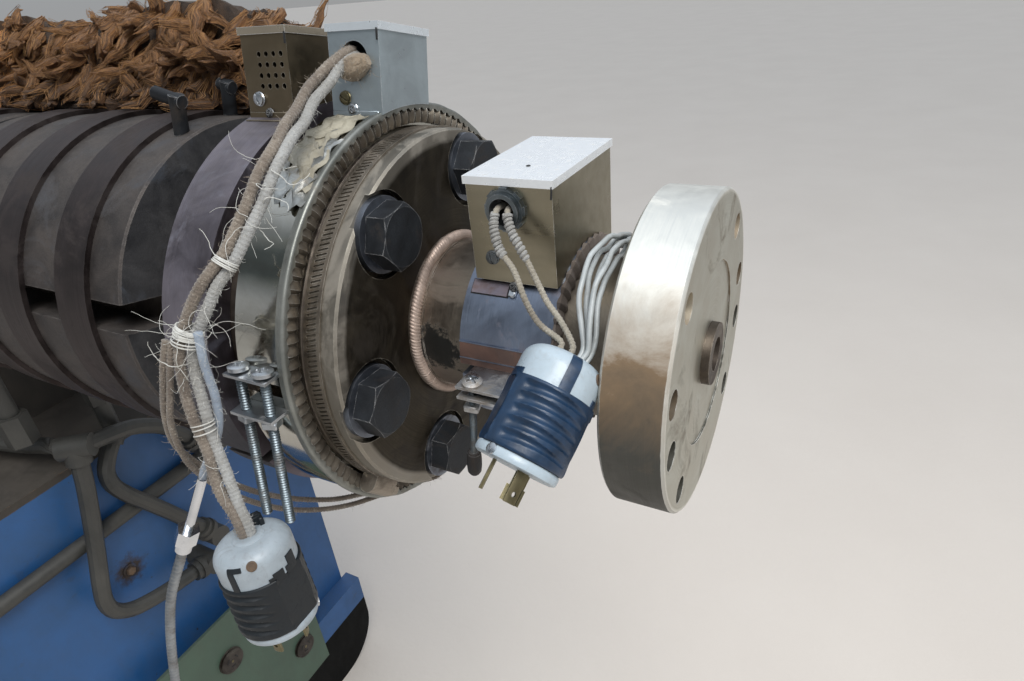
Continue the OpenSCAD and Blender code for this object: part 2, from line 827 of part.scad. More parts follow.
module tube(route, r, n) {
    p = smooth(route, 3);
    last = len(p) - 1;
    way = [for (i = [0 : last]) i == 0 ? unit(route[1] - route[0])
        : i == last ? unit(route[len(route) - 1] - route[len(route) - 2]) : tangent(p, i)];
    points = [for (i = [0 : last]) each ring_points(p[i], way[i], r, n)];
    polyhedron(points, tube_faces(len(p), n), convexity = 6);
}

// Pipe routes are measured from the top edge of the base: forwards, sideways and up

module at_base() {
    translate([face_x - base_s, 0, base_top_h]) children();
}

tee = [34, -60, 40];
supply_dir = unit([0, -0.2, -1]);
supply_route = [
    tee + (22 + tiny) * supply_dir, tee + 56 * supply_dir, [34, -84, -65], [34, -98, -115],
    [34, -110, -155], [34, -116, -184], [34, -111, -207], [34, -92, -226], [34, -62, -238],
    [34, -30, -246], [34, 2, -252]
];
return_route = [
    [16, -14, 6], [18, -27, -8], [22, -38, -24], [28, -40, -42], [33, -30, -66], [34, -12, -97],
    [34, 8, -132], [34, 26, -166], [34, 40, -192]
];
header_route = [
    [-148, -96, tiny], [-148, -96, 12], [-143, -95, 21], [-130, -93, 27], [-110, -90, 30], [-60, -81, 32],
    [-13, -69, 35], tee, [40, -26, 34], [40, 8, 24], [38, 38, 4], [35, 60, -20], [34, 74, -42]
];

module cross_pipe() {
    color("darkkhaki") at_base() translate([pipe_r + tiny, 20 - base_half_w, -cross_pipe_drop])
        rotate([-90, 0, 0]) cylinder(h = cross_pipe_len, r = pipe_r, $fn = small_fn);
}

module supply_pipe() { color("darkkhaki") at_base() tube(supply_route, pipe_r, 12); }
module return_pipe() { color("darkkhaki") at_base() tube(return_route, pipe_r, 12); }

module header_pipe() {
    color("gray") at_base() {
        tube(header_route, pipe_r, 12);
        aim(tee - 20 * unit(header_route[8] - header_route[6]), header_route[8] - header_route[6])
            cylinder(h = 40, r = fitting_r, $fn = small_fn);
        aim(tee, supply_dir) cylinder(h = 22, r = fitting_r, $fn = small_fn);
    }
}

// Each pipe ends in a union and an elbow that runs into the base
module pipe_fittings() {
    color("gray") at_base() {
        for (route = [supply_route, return_route, header_route]) {
            last = len(route) - 1;
            d = unit(route[last] - route[last - 1]);
            q = route[last] + (tiny + 2 * fitting_r) * d;
            elbow_r = fitting_r + 1;
            aim(route[last] + tiny * d, d) {
                cylinder(h = 2 * fitting_r, r = fitting_r, $fn = small_fn);
                translate([0, 0, 8]) cylinder(h = 8, r = fitting_r + 2.5, $fn = small_fn);
            }
            translate([0, q[1], q[2]]) rotate([0, 90, 0])
                cylinder(h = q[0] + elbow_r, r = elbow_r, $fn = small_fn);
        }
    }
}

// Water pipes that drop from the zones to the elbow and to the header
return_start = unit(return_route[0] - return_route[1]);
drop_elbow = return_route[0] + (fitting_r + tiny) * return_start;
drop_len = 180;
riser = [-4, -92, 62];
riser_len = 160;

module zone_pipes() {
    color("gray") difference() {
        at_base() {
            translate(drop_elbow) {
                sphere(r = fitting_r, $fn = small_fn);
                cylinder(h = drop_len, r = pipe_r, $fn = small_fn);
                translate([0, 0, 50]) cylinder(h = 24, r = fitting_r, $fn = 6);
            }
            aim(return_route[0] + tiny * return_start, return_start)
                cylinder(h = fitting_r, r = fitting_r - 1, $fn = small_fn);
            translate(riser) {
                cylinder(h = riser_len, r = pipe_r, $fn = small_fn);
                cylinder(h = 40, r = fitting_r + 3, $fn = 6);
            }
        }
        along(zone_s) cylinder(h = zone_n * zone_step, r = cast_r + strap_t + 2 * ring_fit, $fn = round_fn);
    }
}

// Leads and plugs are measured from the end flange face: back is negative, then sideways and up

module at_face() {
    translate([face_x, 0, axis_h]) children();
}

// Each plug is placed by its blade face and the direction of its cable axis
plug_r = 25;
disc_t = 6;
grip_t = 39;
cap_t = 11;
plug_round = 10;
plug_h = disc_t + grip_t + cap_t + plug_round;
plug_1_p = [-218, -197, -129];
plug_1_d = unit([-8, 3.5, 59]);
plug_1_top = plug_1_p + plug_h * plug_1_d;
plug_2_p = [-69.5, -135.4, -6.9];
plug_2_d = unit([8.5, 38, 30]);
plug_2_top = plug_2_p + plug_h * plug_2_d;

probe_top = [-270, -182, -41];
probe_d = unit([26, 11, 50]);
probe_len = 72;

tie = [-255, -165, 58];
bundle_route = [
    [-234.5, -3, 181], [-235, -12, 180], [-237, -23, 175], [-239, -35, 168], [-239, -48, 162],
    [-236, -62, 154], [-231, -78, 149], [-227, -93, 142], [-226, -106, 133], [-227, -118, 121],
    [-231, -130, 107], [-236, -142, 93], [-243, -154, 80], tie, [-257, -171, 42], [-254, -176, 24],
    [-249, -181, 4], [-243, -185, -14], [-237, -189, -34],
    plug_1_top + 13 * plug_1_d, plug_1_top + tiny * plug_1_d
];
loop_route = [
    tie + [-9, -8, -3], [-270, -178, 34], [-280, -181, 6], [-288, -180, -20], [-293, -172, -46],
    [-298, -152, -84], [-296, -124, -122], [-284, -96, -146], [-266, -70, -156], [-246, -46, -158],
    [-226, -30, -155], [-211, -22, -148], [-206, -20, -over - sqrt(band_r * band_r - 400)]
];
wire_route = [
    tie + [9.6, -1, 2], [-247, -168, 40], [-246, -169, 18], [-251, -173, -6],
    probe_top + 12 * probe_d, probe_top + tiny * probe_d
];
lead_1_end = plug_2_top + [-9, 2, 0] + tiny * plug_2_d;
lead_2_end = plug_2_top + [-1, 0.2, 0] + tiny * plug_2_d;
white_end = plug_2_top + [8, -1.8, 0] + tiny * plug_2_d;
lead_1_route = [
    [-113, -43, 102], [-113, -52, 101.6], [-112, -58.5, 93], [-107, -62.5, 82], [-97, -67, 73],
    [-88, -73, 58], [-80, -74, 46], lead_1_end + 7 * plug_2_d, lead_1_end
];
lead_2_route = [
    [-106, -43, 102], [-106, -52, 101.6], [-101, -58.5, 93], [-93, -62, 82], [-85, -65, 70], [-77, -69, 58],
    [-67, -72, 48], lead_2_end + 7 * plug_2_d, lead_2_end
];
white_route = [
    [-76.7, 36, 53], [-71, 36, 53.5], [-62, 26, 60], [-58, 6, 67], [-56, -10, 70], [-55, -24, 73],
    [-55, -40, 72], [-54, -55, 66], [-53, -66, 57], white_end + 9 * plug_2_d, white_end
];
probe_lead_route = [
    probe_top - (probe_len + tiny) * probe_d, probe_top - (probe_len + 12) * probe_d,
    [-326, -206, -150], [-343, -211, -192],
    [-357, -216, -238], [-370, -221, -290], [-385, -222, -350], [-410, -222, -430], [-450, -218, -520],
    [-500, -205, -610], [-560, -190, -700], [-620, -172, -780], [-675, -150, -850], [-712, -130, -884],
    [rail_d + outlet_t - base_s + 12, -120, -895], [rail_d + outlet_t - base_s + tiny, -120, -895]
];

module lead_bundle() { color("tan") at_face() tube(bundle_route, 6.5, 8); }
module loop_leads() { color("tan") at_face() tube(loop_route, 3.5, 8); }
module probe_wire() { color("white") at_face() tube(wire_route, 2.6, 8); }
module box_leads() {
    color("wheat") at_face() {
        tube(lead_1_route, 2.2, 8);
        tube(lead_2_route, 2.2, 8);
    }
}
module white_leads() { color("white") at_face() tube(white_route, 4.5, 8); }
module probe_lead() { color("silver") at_face() tube(probe_lead_route, 3.6, 8); }

// A bright tube with a hexagon nut at its lower end

module probe() {
    color("silver") at_face() aim(probe_top, -probe_d) {
        cylinder(h = probe_len - 6, r = 3, $fn = small_fn);
        translate([0, 0, probe_len - 22]) cylinder(h = 14, r = 7.5, $fn = 6);
        translate([0, 0, probe_len - 10]) cylinder(h = 10, r = 5.5, $fn = small_fn);
    }
}

// Locking plugs

// Ribs are pressed into two sides of the grip, and its two strips run on over the cap
module plug_body() {
    color("darkslategray") {
        translate([0, 0, disc_t]) difference() {
            cylinder(h = grip_t, r = plug_r, $fn = round_fn);
            for (z = [6 : 6.5 : 34], side = [0, 180]) rotate([0, 0, side]) translate([plug_r + 1.6, 0, z])
                rotate([90, 0, 0]) cylinder(h = 1.3 * plug_r, r = 3, center = true, $fn = small_fn);
        }
        for (side = [0, 180]) rotate([0, 0, side + 52]) translate([0, 0, disc_t + grip_t]) intersection() {
            translate([plug_r - 4, -3.5, -over]) cube([4, 7, cap_t]);
            difference() {
                cylinder(h = cap_t, r = plug_r - 0.4, $fn = round_fn);
                translate([0, 0, -over]) cylinder(h = cap_t + 2 * over, r = plug_r - 1.4, $fn = round_fn);
            }
        }
    }
}

// A domed cap at the cable end and a disc at the blade end
module plug_cap() {
    color("white") {
        cylinder(h = disc_t, r = plug_r - 1.5, $fn = round_fn);
        translate([0, 0, disc_t + grip_t]) rotate_extrude($fn = round_fn) {
            square([plug_r - 1.5, cap_t]);
            translate([0, cap_t]) square([plug_r - 1.5 - plug_round, plug_round]);
            translate([plug_r - 1.5 - plug_round, cap_t]) intersection() {
                circle(r = plug_round, $fn = small_fn);
                square(plug_round);
            }
        }
    }
}

// Curved blades on one circle; one of them is wider at its tip, as a hook
blade_len = 17;
blade_r = 10.5;
blade_t = 1.6;
hook_h = 9;

module plug_blades() {
    color("gold") translate([0, 0, -blade_len]) for (i = [0 : 2]) rotate([0, 0, 120 * i]) difference() {
        blade(i == 0 ? 64 : 34);
        if (i == 0) for (side = [0, 1]) mirror([0, side, 0]) rotate([0, 0, 23])
            translate([0, 0, hook_h]) cube(plug_r);
        translate([0, 0, 5]) rotate([0, 90, 0]) cylinder(h = 2 * plug_r, r = 1.5, $fn = small_fn);
    }
}

module blade(arc) {
    rotate([0, 0, -arc / 2]) rotate_extrude(angle = arc, $fn = small_fn)
        translate([blade_r, 0]) square([blade_t, blade_len]);
}

module plug_at(p, d) {
    at_face() aim(p, d) children();
}

module plug_1_body() { plug_at(plug_1_p, plug_1_d) plug_body(); }
module plug_1_cap() { plug_at(plug_1_p, plug_1_d) plug_cap(); }
module plug_1_blades() { plug_at(plug_1_p, plug_1_d) plug_blades(); }
module plug_2_body() { plug_at(plug_2_p, plug_2_d) plug_body(); }
module plug_2_cap() { plug_at(plug_2_p, plug_2_d) plug_cap(); }
module plug_2_blades() { plug_at(plug_2_p, plug_2_d) plug_blades(); }

outlet_nipple();
end_flange();
adapter_neck();
head_flange();
head_bolts();
head_washers();
adapter_ring();
barrel_flange();
clamp_band();
head_heater();
head_heater_ceramic();
head_heater_ears();
head_heater_rods();
flange_heater();
neck_heater();
neck_heater_ceramic();
neck_heater_ears();
neck_heater_screws();
neck_box();
head_box();
flange_box();
box_covers();
conduit_nut();
barrel();
cast_heater_1();
cast_heater_2();
cast_heater_3();
cast_heater_4();
zone_straps();
barrel_stubs();
rear_flange();
barrel_supports();
insulation_blanket();
base_top();
base_end_panels();
base_side_panels();
base_rails();
skids();
outlet_panel();
outlets();
cross_pipe();
supply_pipe();
return_pipe();
header_pipe();
pipe_fittings();
zone_pipes();
lead_bundle();
loop_leads();
probe_wire();
box_leads();
white_leads();
probe();
probe_lead();
plug_1_body();
plug_1_cap();
plug_1_blades();
plug_2_body();
plug_2_cap();
plug_2_blades();
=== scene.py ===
# Looks of the discharge end of a plastic extruder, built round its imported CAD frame.
import math
import random
import bmesh
import bpy
import numpy as np
from mathutils import Matrix, Vector, noise


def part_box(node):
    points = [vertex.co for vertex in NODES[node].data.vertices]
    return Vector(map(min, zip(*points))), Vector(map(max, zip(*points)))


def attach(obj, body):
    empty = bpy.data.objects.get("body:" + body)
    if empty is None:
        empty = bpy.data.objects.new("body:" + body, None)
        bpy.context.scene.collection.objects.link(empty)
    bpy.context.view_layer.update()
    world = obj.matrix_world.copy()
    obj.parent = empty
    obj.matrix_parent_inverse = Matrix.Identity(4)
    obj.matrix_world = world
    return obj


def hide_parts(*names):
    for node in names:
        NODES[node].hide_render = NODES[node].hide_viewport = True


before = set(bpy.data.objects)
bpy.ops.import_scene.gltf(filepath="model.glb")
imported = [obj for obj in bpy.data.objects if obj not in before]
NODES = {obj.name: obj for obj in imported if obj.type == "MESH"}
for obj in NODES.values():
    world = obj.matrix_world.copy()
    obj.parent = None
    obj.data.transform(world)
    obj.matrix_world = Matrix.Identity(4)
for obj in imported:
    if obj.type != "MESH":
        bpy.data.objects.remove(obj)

MM = 0.001
low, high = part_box("end_flange")
FX, AX = high.x, (low.z + high.z) / 2
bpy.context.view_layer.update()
rng = random.Random(7)


def at(x, y, z):
    """A point given in millimetres from the middle of the end flange face."""
    return Vector((FX + x * MM, y * MM, AX + z * MM))


# Camera

cam_data = bpy.data.cameras.new("camera")
cam = bpy.data.objects.new("camera", cam_data)
bpy.context.scene.collection.objects.link(cam)
cam_data.sensor_width = 36
cam_data.lens = 656.706 / 1024 * 36
cam_data.clip_start = 0.01
cam_right = Vector((0.88452757, 0.45803536, -0.0884002))
cam_up = Vector((-0.15999748, 0.47588764, 0.86483048))
cam_ahead = Vector((-0.4381915, 0.75082259, -0.49422024))
cam_matrix = Matrix((cam_right, cam_up, -cam_ahead)).transposed().to_4x4()
cam_matrix.translation = at(69.5, -362.0, 220.9)
cam.matrix_world = cam_matrix
bpy.context.scene.camera = cam


# Node materials

class Look:
    """Builds one material. Every method returns an output socket."""

    def __init__(self, name):
        self.material = bpy.data.materials.new(name)
        self.material.use_nodes = True
        self.tree = self.material.node_tree
        self.shader = self.tree.nodes["Principled BSDF"]
        self.where = self.add("ShaderNodeTexCoord").outputs["Object"]
        self.geometry = None

    def add(self, kind, **values):
        node = self.tree.nodes.new(kind)
        for key, value in values.items():
            setattr(node, key, value)
        return node

    def put(self, socket, value):
        if isinstance(value, bpy.types.NodeSocket):
            self.tree.links.new(value, socket)
        elif isinstance(value, (tuple, list)) and len(value) == 3 and socket.type == "RGBA":
            socket.default_value = (*value, 1)
        else:
            socket.default_value = value

    def math(self, operation, a, b=0.0, clamp=False):
        node = self.add("ShaderNodeMath", operation=operation, use_clamp=clamp)
        self.put(node.inputs[0], a)
        self.put(node.inputs[1], b)
        return node.outputs[0]

    def stretch(self, x, y, z, shift=0.0, vector=None):
        node = self.add("ShaderNodeMapping")
        self.put(node.inputs["Vector"], vector or self.where)
        node.inputs["Scale"].default_value = (x, y, z)
        node.inputs["Location"].default_value = (shift, shift, shift)
        return node.outputs[0]

    def noise(self, scale, detail=4.0, rough=0.55, bend=0.0, vector=None):
        node = self.add("ShaderNodeTexNoise")
        self.put(node.inputs["Vector"], vector or self.where)
        node.inputs["Scale"].default_value = scale
        node.inputs["Detail"].default_value = detail
        node.inputs["Roughness"].default_value = rough
        node.inputs["Distortion"].default_value = bend
        return node.outputs["Fac"]

    def cells(self, scale, feature="F1", vector=None):
        node = self.add("ShaderNodeTexVoronoi", feature=feature)
        self.put(node.inputs["Vector"], vector or self.where)
        node.inputs["Scale"].default_value = scale
        return node.outputs["Distance"]

    def level(self, value, low, high, out_low=0.0, out_high=1.0):
        node = self.add("ShaderNodeMapRange")
        self.put(node.inputs["Value"], value)
        for key, number in (("From Min", low), ("From Max", high), ("To Min", out_low), ("To Max", out_high)):
            node.inputs[key].default_value = number
        return node.outputs[0]

    def mix(self, share, a, b, blend="MIX"):
        node = self.add("ShaderNodeMix", data_type="RGBA", blend_type=blend)
        self.put(node.inputs[0], share)
        self.put(node.inputs[6], a)
        self.put(node.inputs[7], b)
        return node.outputs[2]

    def ramp(self, value, *stops):
        node = self.add("ShaderNodeValToRGB")
        self.put(node.inputs[0], value)
        points = node.color_ramp.elements
        while len(points) < len(stops):
            points.new(0.5)
        for point, (place, colour) in zip(points, stops):
            point.position = place
            point.color = (*colour, 1)
        return node.outputs[0]

    def bump(self, height, depth, under=None):
        node = self.add("ShaderNodeBump")
        self.put(node.inputs["Height"], height)
        node.inputs["Distance"].default_value = depth * MM
        if under is not None:
            self.put(node.inputs["Normal"], under)
        return node.outputs[0]

    def split(self, vector=None):
        node = self.add("ShaderNodeSeparateXYZ")
        self.put(node.inputs[0], vector or self.where)
        return node.outputs

    def normal(self):
        if self.geometry is None:
            self.geometry = self.add("ShaderNodeNewGeometry")
        return self.geometry.outputs["Normal"]

    def upward(self):
        return self.split(self.normal())[2]

    def radius(self):
        """Distance from the barrel axis, in metres."""
        _, y, z = self.split()
        z = self.math("SUBTRACT", z, AX)
        return self.math("SQRT", self.math("ADD", self.math("MULTIPLY", y, y), self.math("MULTIPLY", z, z)))

    def station(self):
        """Distance back from the end flange face, in metres."""
        return self.math("SUBTRACT", FX, self.split()[0])

    def near(self, place):
        """Distance from a place, in metres."""
        node = self.add("ShaderNodeVectorMath", operation="DISTANCE")
        self.put(node.inputs[0], self.where)
        node.inputs[1].default_value = place
        return node.outputs["Value"]

    def around(self):
        """Angle about the barrel axis, in radians."""
        _, y, z = self.split()
        return self.math("ARCTAN2", y, self.math("SUBTRACT", z, AX))

    def turned(self, pitch):
        """Fine marks of a lathe, as rings on a face and as lines round a rim."""
        join = self.add("ShaderNodeCombineXYZ")
        self.put(join.inputs[0], self.math("MULTIPLY", self.station(), 1 / (pitch * MM)))
        self.put(join.inputs[1], self.math("MULTIPLY", self.radius(), 1 / (pitch * MM)))
        self.put(join.inputs[2], self.math("MULTIPLY", self.around(), 1.5))
        return self.noise(1.0, 2.0, 0.6, vector=join.outputs[0])

    def edges(self, width):
        """1 along the sharp edges of a piece, 0 elsewhere."""
        bevel = self.add("ShaderNodeBevel", samples=4)
        bevel.inputs["Radius"].default_value = width * MM
        dot = self.add("ShaderNodeVectorMath", operation="DOT_PRODUCT")
        self.put(dot.inputs[0], bevel.outputs[0])
        self.put(dot.inputs[1], self.normal())
        return self.level(dot.outputs["Value"], 0.985, 0.85)

    def done(self, colour, rough, metal=0.0, normal=None, **more):
        self.put(self.shader.inputs["Base Color"], colour)
        self.put(self.shader.inputs["Roughness"], rough)
        self.put(self.shader.inputs["Metallic"], metal)
        if normal is not None:
            self.put(self.shader.inputs["Normal"], normal)
        for key, value in more.items():
            self.put(self.shader.inputs[key.replace("_", " ")], value)
        return self.material


def metal(name, light, dark, stain, amount=0.5, rough=(0.3, 0.55), grain="turned", pitch=0.5, depth=0.05,
          worn=None, worn_w=0.8, dust=0.0, dust_colour=(0.24, 0.21, 0.175), shift=0.0, blotch=35.0, metallic=1.0,
          low_shade_and_grime=None, rim=None, face=None, burn=False, gloss=0.5):
    """Worked steel with blotches, stains, grain and worn edges; where a look asks, darker towards the bottom (painted
    shade on the end flange and the flange heater) and tinted on faces across the axis (painted light and shade).
    """
    look = Look(name)
    blotches = look.noise(blotch, 7.0, 0.62, 0.6, look.stretch(1, 1, 1, shift))
    colour = look.mix(look.level(blotches, 0.35, 0.65), dark, light)
    patches = look.noise(blotch * 0.45, 9.0, 0.68, 1.1, look.stretch(1, 1, 1, shift + 3.1))
    stained = look.level(patches, 0.62 - 0.25 * amount, 0.74 - 0.25 * amount)
    colour = look.mix(look.math("MULTIPLY", stained, 0.9), colour, stain)
    if grain == "turned":
        lines = look.turned(pitch)
    elif grain == "rolled":
        lines = look.noise(1 / (pitch * MM) / 6, 3.0, 0.6, 0, look.stretch(0.12, 1, 1, shift))
    else:
        lines = look.noise(1 / (pitch * MM), 6.0, 0.65)
    speck = look.noise(900.0, 3.0, 0.7)
    colour = look.mix(look.level(lines, 0.3, 0.7, 0.0, 0.35), colour, dark)
    shine = look.level(blotches, 0.3, 0.7, rough[0], rough[1])
    shine = look.math("ADD", shine, look.math("MULTIPLY", stained, 0.25), True)
    shine = look.math("ADD", shine, look.level(lines, 0.3, 0.7, -0.05, 0.08), True)
    reflective = look.math("SUBTRACT", metallic, look.math("MULTIPLY", stained, 0.55), True)
    # Faces across the barrel axis are tinted by their direction: painted light and shade, darker on the end flange face
    # and brighter and bluer on the cast shells' ends.
    if face:
        flat = look.level(look.math("ABSOLUTE", look.split(look.normal())[0]), 0.85, 0.95)
        colour = look.mix(flat, colour, face, "MULTIPLY")
    if rim:
        share = look.level(look.math("ADD", look.radius(), look.math("MULTIPLY", blotches, 0.003)), rim[0], rim[0] + 0.003)
        colour = look.mix(look.math("MULTIPLY", share, 0.85), colour, rim[1])
    # Darker towards the bottom, below a height set by the look, browner at the band's upper edge and less shiny:
    # painted shade on the end flange and the flange heater.
    if low_shade_and_grime:
        share, starts, ends, low_dark, low_brown = low_shade_and_grime
        drop = look.math("SUBTRACT", AX, look.split()[2])
        drop = look.math("ADD", drop, look.math("MULTIPLY", patches, 0.1))
        facing = look.level(look.math("ABSOLUTE", look.split(look.normal())[0]), 0.9, 0.5)
        share = look.math("MULTIPLY", look.math("MULTIPLY", look.level(drop, starts, ends), share), facing)
        low_dark = look.mix(look.level(drop, ends - 0.01, ends + 0.05), low_brown, low_dark)
        colour = look.mix(share, colour, low_dark)
        reflective = look.math("SUBTRACT", reflective, share, True)
        shine = look.math("ADD", shine, look.math("MULTIPLY", share, 0.2), True)
    if burn:
        away = look.math("ADD", look.near(at(-169, -53.5, 0)), look.math("MULTIPLY", look.noise(130.0, 8.0, 0.75), 0.044))
        share = look.level(away, 0.041, 0.037)
        tint = look.level(look.station(), 0.15, 0.185)
        colour = look.mix(look.math("MULTIPLY", tint, 0.45), colour, (0.17, 0.125, 0.105))
        colour = look.mix(share, colour, (0.008, 0.008, 0.007))
        reflective = look.math("SUBTRACT", reflective, share, True)
    if worn:
        share = look.math("MULTIPLY", look.edges(worn_w), look.level(look.noise(160.0), 0.35, 0.6))
        colour = look.mix(share, colour, worn)
    if dust:
        up = look.level(look.upward(), 0.35, 0.95)
        fine = look.level(look.noise(120.0, 8.0, 0.7), 0.35, 0.65, 0.35, 1.0)
        share = look.math("MULTIPLY", look.math("MULTIPLY", up, fine), dust)
        colour = look.mix(share, colour, dust_colour)
        reflective = look.math("MULTIPLY", reflective, look.math("SUBTRACT", 1.0, share))
        shine = look.math("ADD", shine, look.math("MULTIPLY", share, 0.35), True)
    height = look.math("ADD", look.math("MULTIPLY", lines, 0.6), look.math("MULTIPLY", speck, 0.25))
    return look.done(colour, shine, reflective, look.bump(height, depth), Specular_IOR_Level=gloss)


def painted(name, coat, deep, chip, dust=0.5, dust_colour=(0.22, 0.195, 0.165), rough=0.45, shift=0.0, chips=0.5,
            grime=0.5, rust_at=None, gloss=0.5):
    """Brushed enamel on steel plate, dusty and chipped."""
    look = Look(name)
    fade = look.noise(9.0, 6.0, 0.6, 0.4, look.stretch(1, 1, 1, shift))
    colour = look.mix(look.level(fade, 0.3, 0.7), deep, coat)
    dirt = look.noise(30.0, 9.0, 0.72, 0.4, look.stretch(1, 1, 0.5, shift))
    colour = look.mix(look.level(dirt, 0.42, 0.78, 0.0, grime), colour, dust_colour)
    up = look.level(look.upward(), 0.3, 0.95)
    fine = look.noise(160.0, 8.0, 0.75)
    settled = look.math("MULTIPLY", look.math("MULTIPLY", up, look.level(fine, 0.3, 0.7, 0.3, 1.0)), dust)
    colour = look.mix(settled, colour, dust_colour)
    spots = look.noise(70.0, 5.0, 0.6, 0.5, look.stretch(1, 1, 1, shift + 5))
    bare = look.math("MULTIPLY", look.edges(1.6), look.level(spots, 0.45, 0.6), True)
    bare = look.math("MAXIMUM", bare, look.level(spots, 0.74 - 0.06 * chips, 0.76 - 0.06 * chips))
    if rust_at:
        away = look.math("ADD", look.near(rust_at), look.math("MULTIPLY", look.noise(90.0, 8.0, 0.75), 0.05))
        colour = look.mix(look.level(away, 0.052, 0.036), colour, (0.028, 0.018, 0.014))
        colour = look.mix(look.level(look.noise(14.0, 9.0, 0.7, 1.5), 0.60, 0.72, 0.0, 0.35), colour, (0.045, 0.04, 0.035))
    colour = look.mix(bare, colour, chip)
    shine = look.math("ADD", look.level(dirt, 0.3, 0.7, rough - 0.1, rough + 0.2), look.math("MULTIPLY", settled, 0.3), True)
    height = look.math("SUBTRACT", look.math("MULTIPLY", look.noise(230.0, 4.0), 0.35), look.math("MULTIPLY", bare, 0.8))
    return look.done(colour, shine, 0.0, look.bump(height, 0.12), Specular_IOR_Level=gloss)


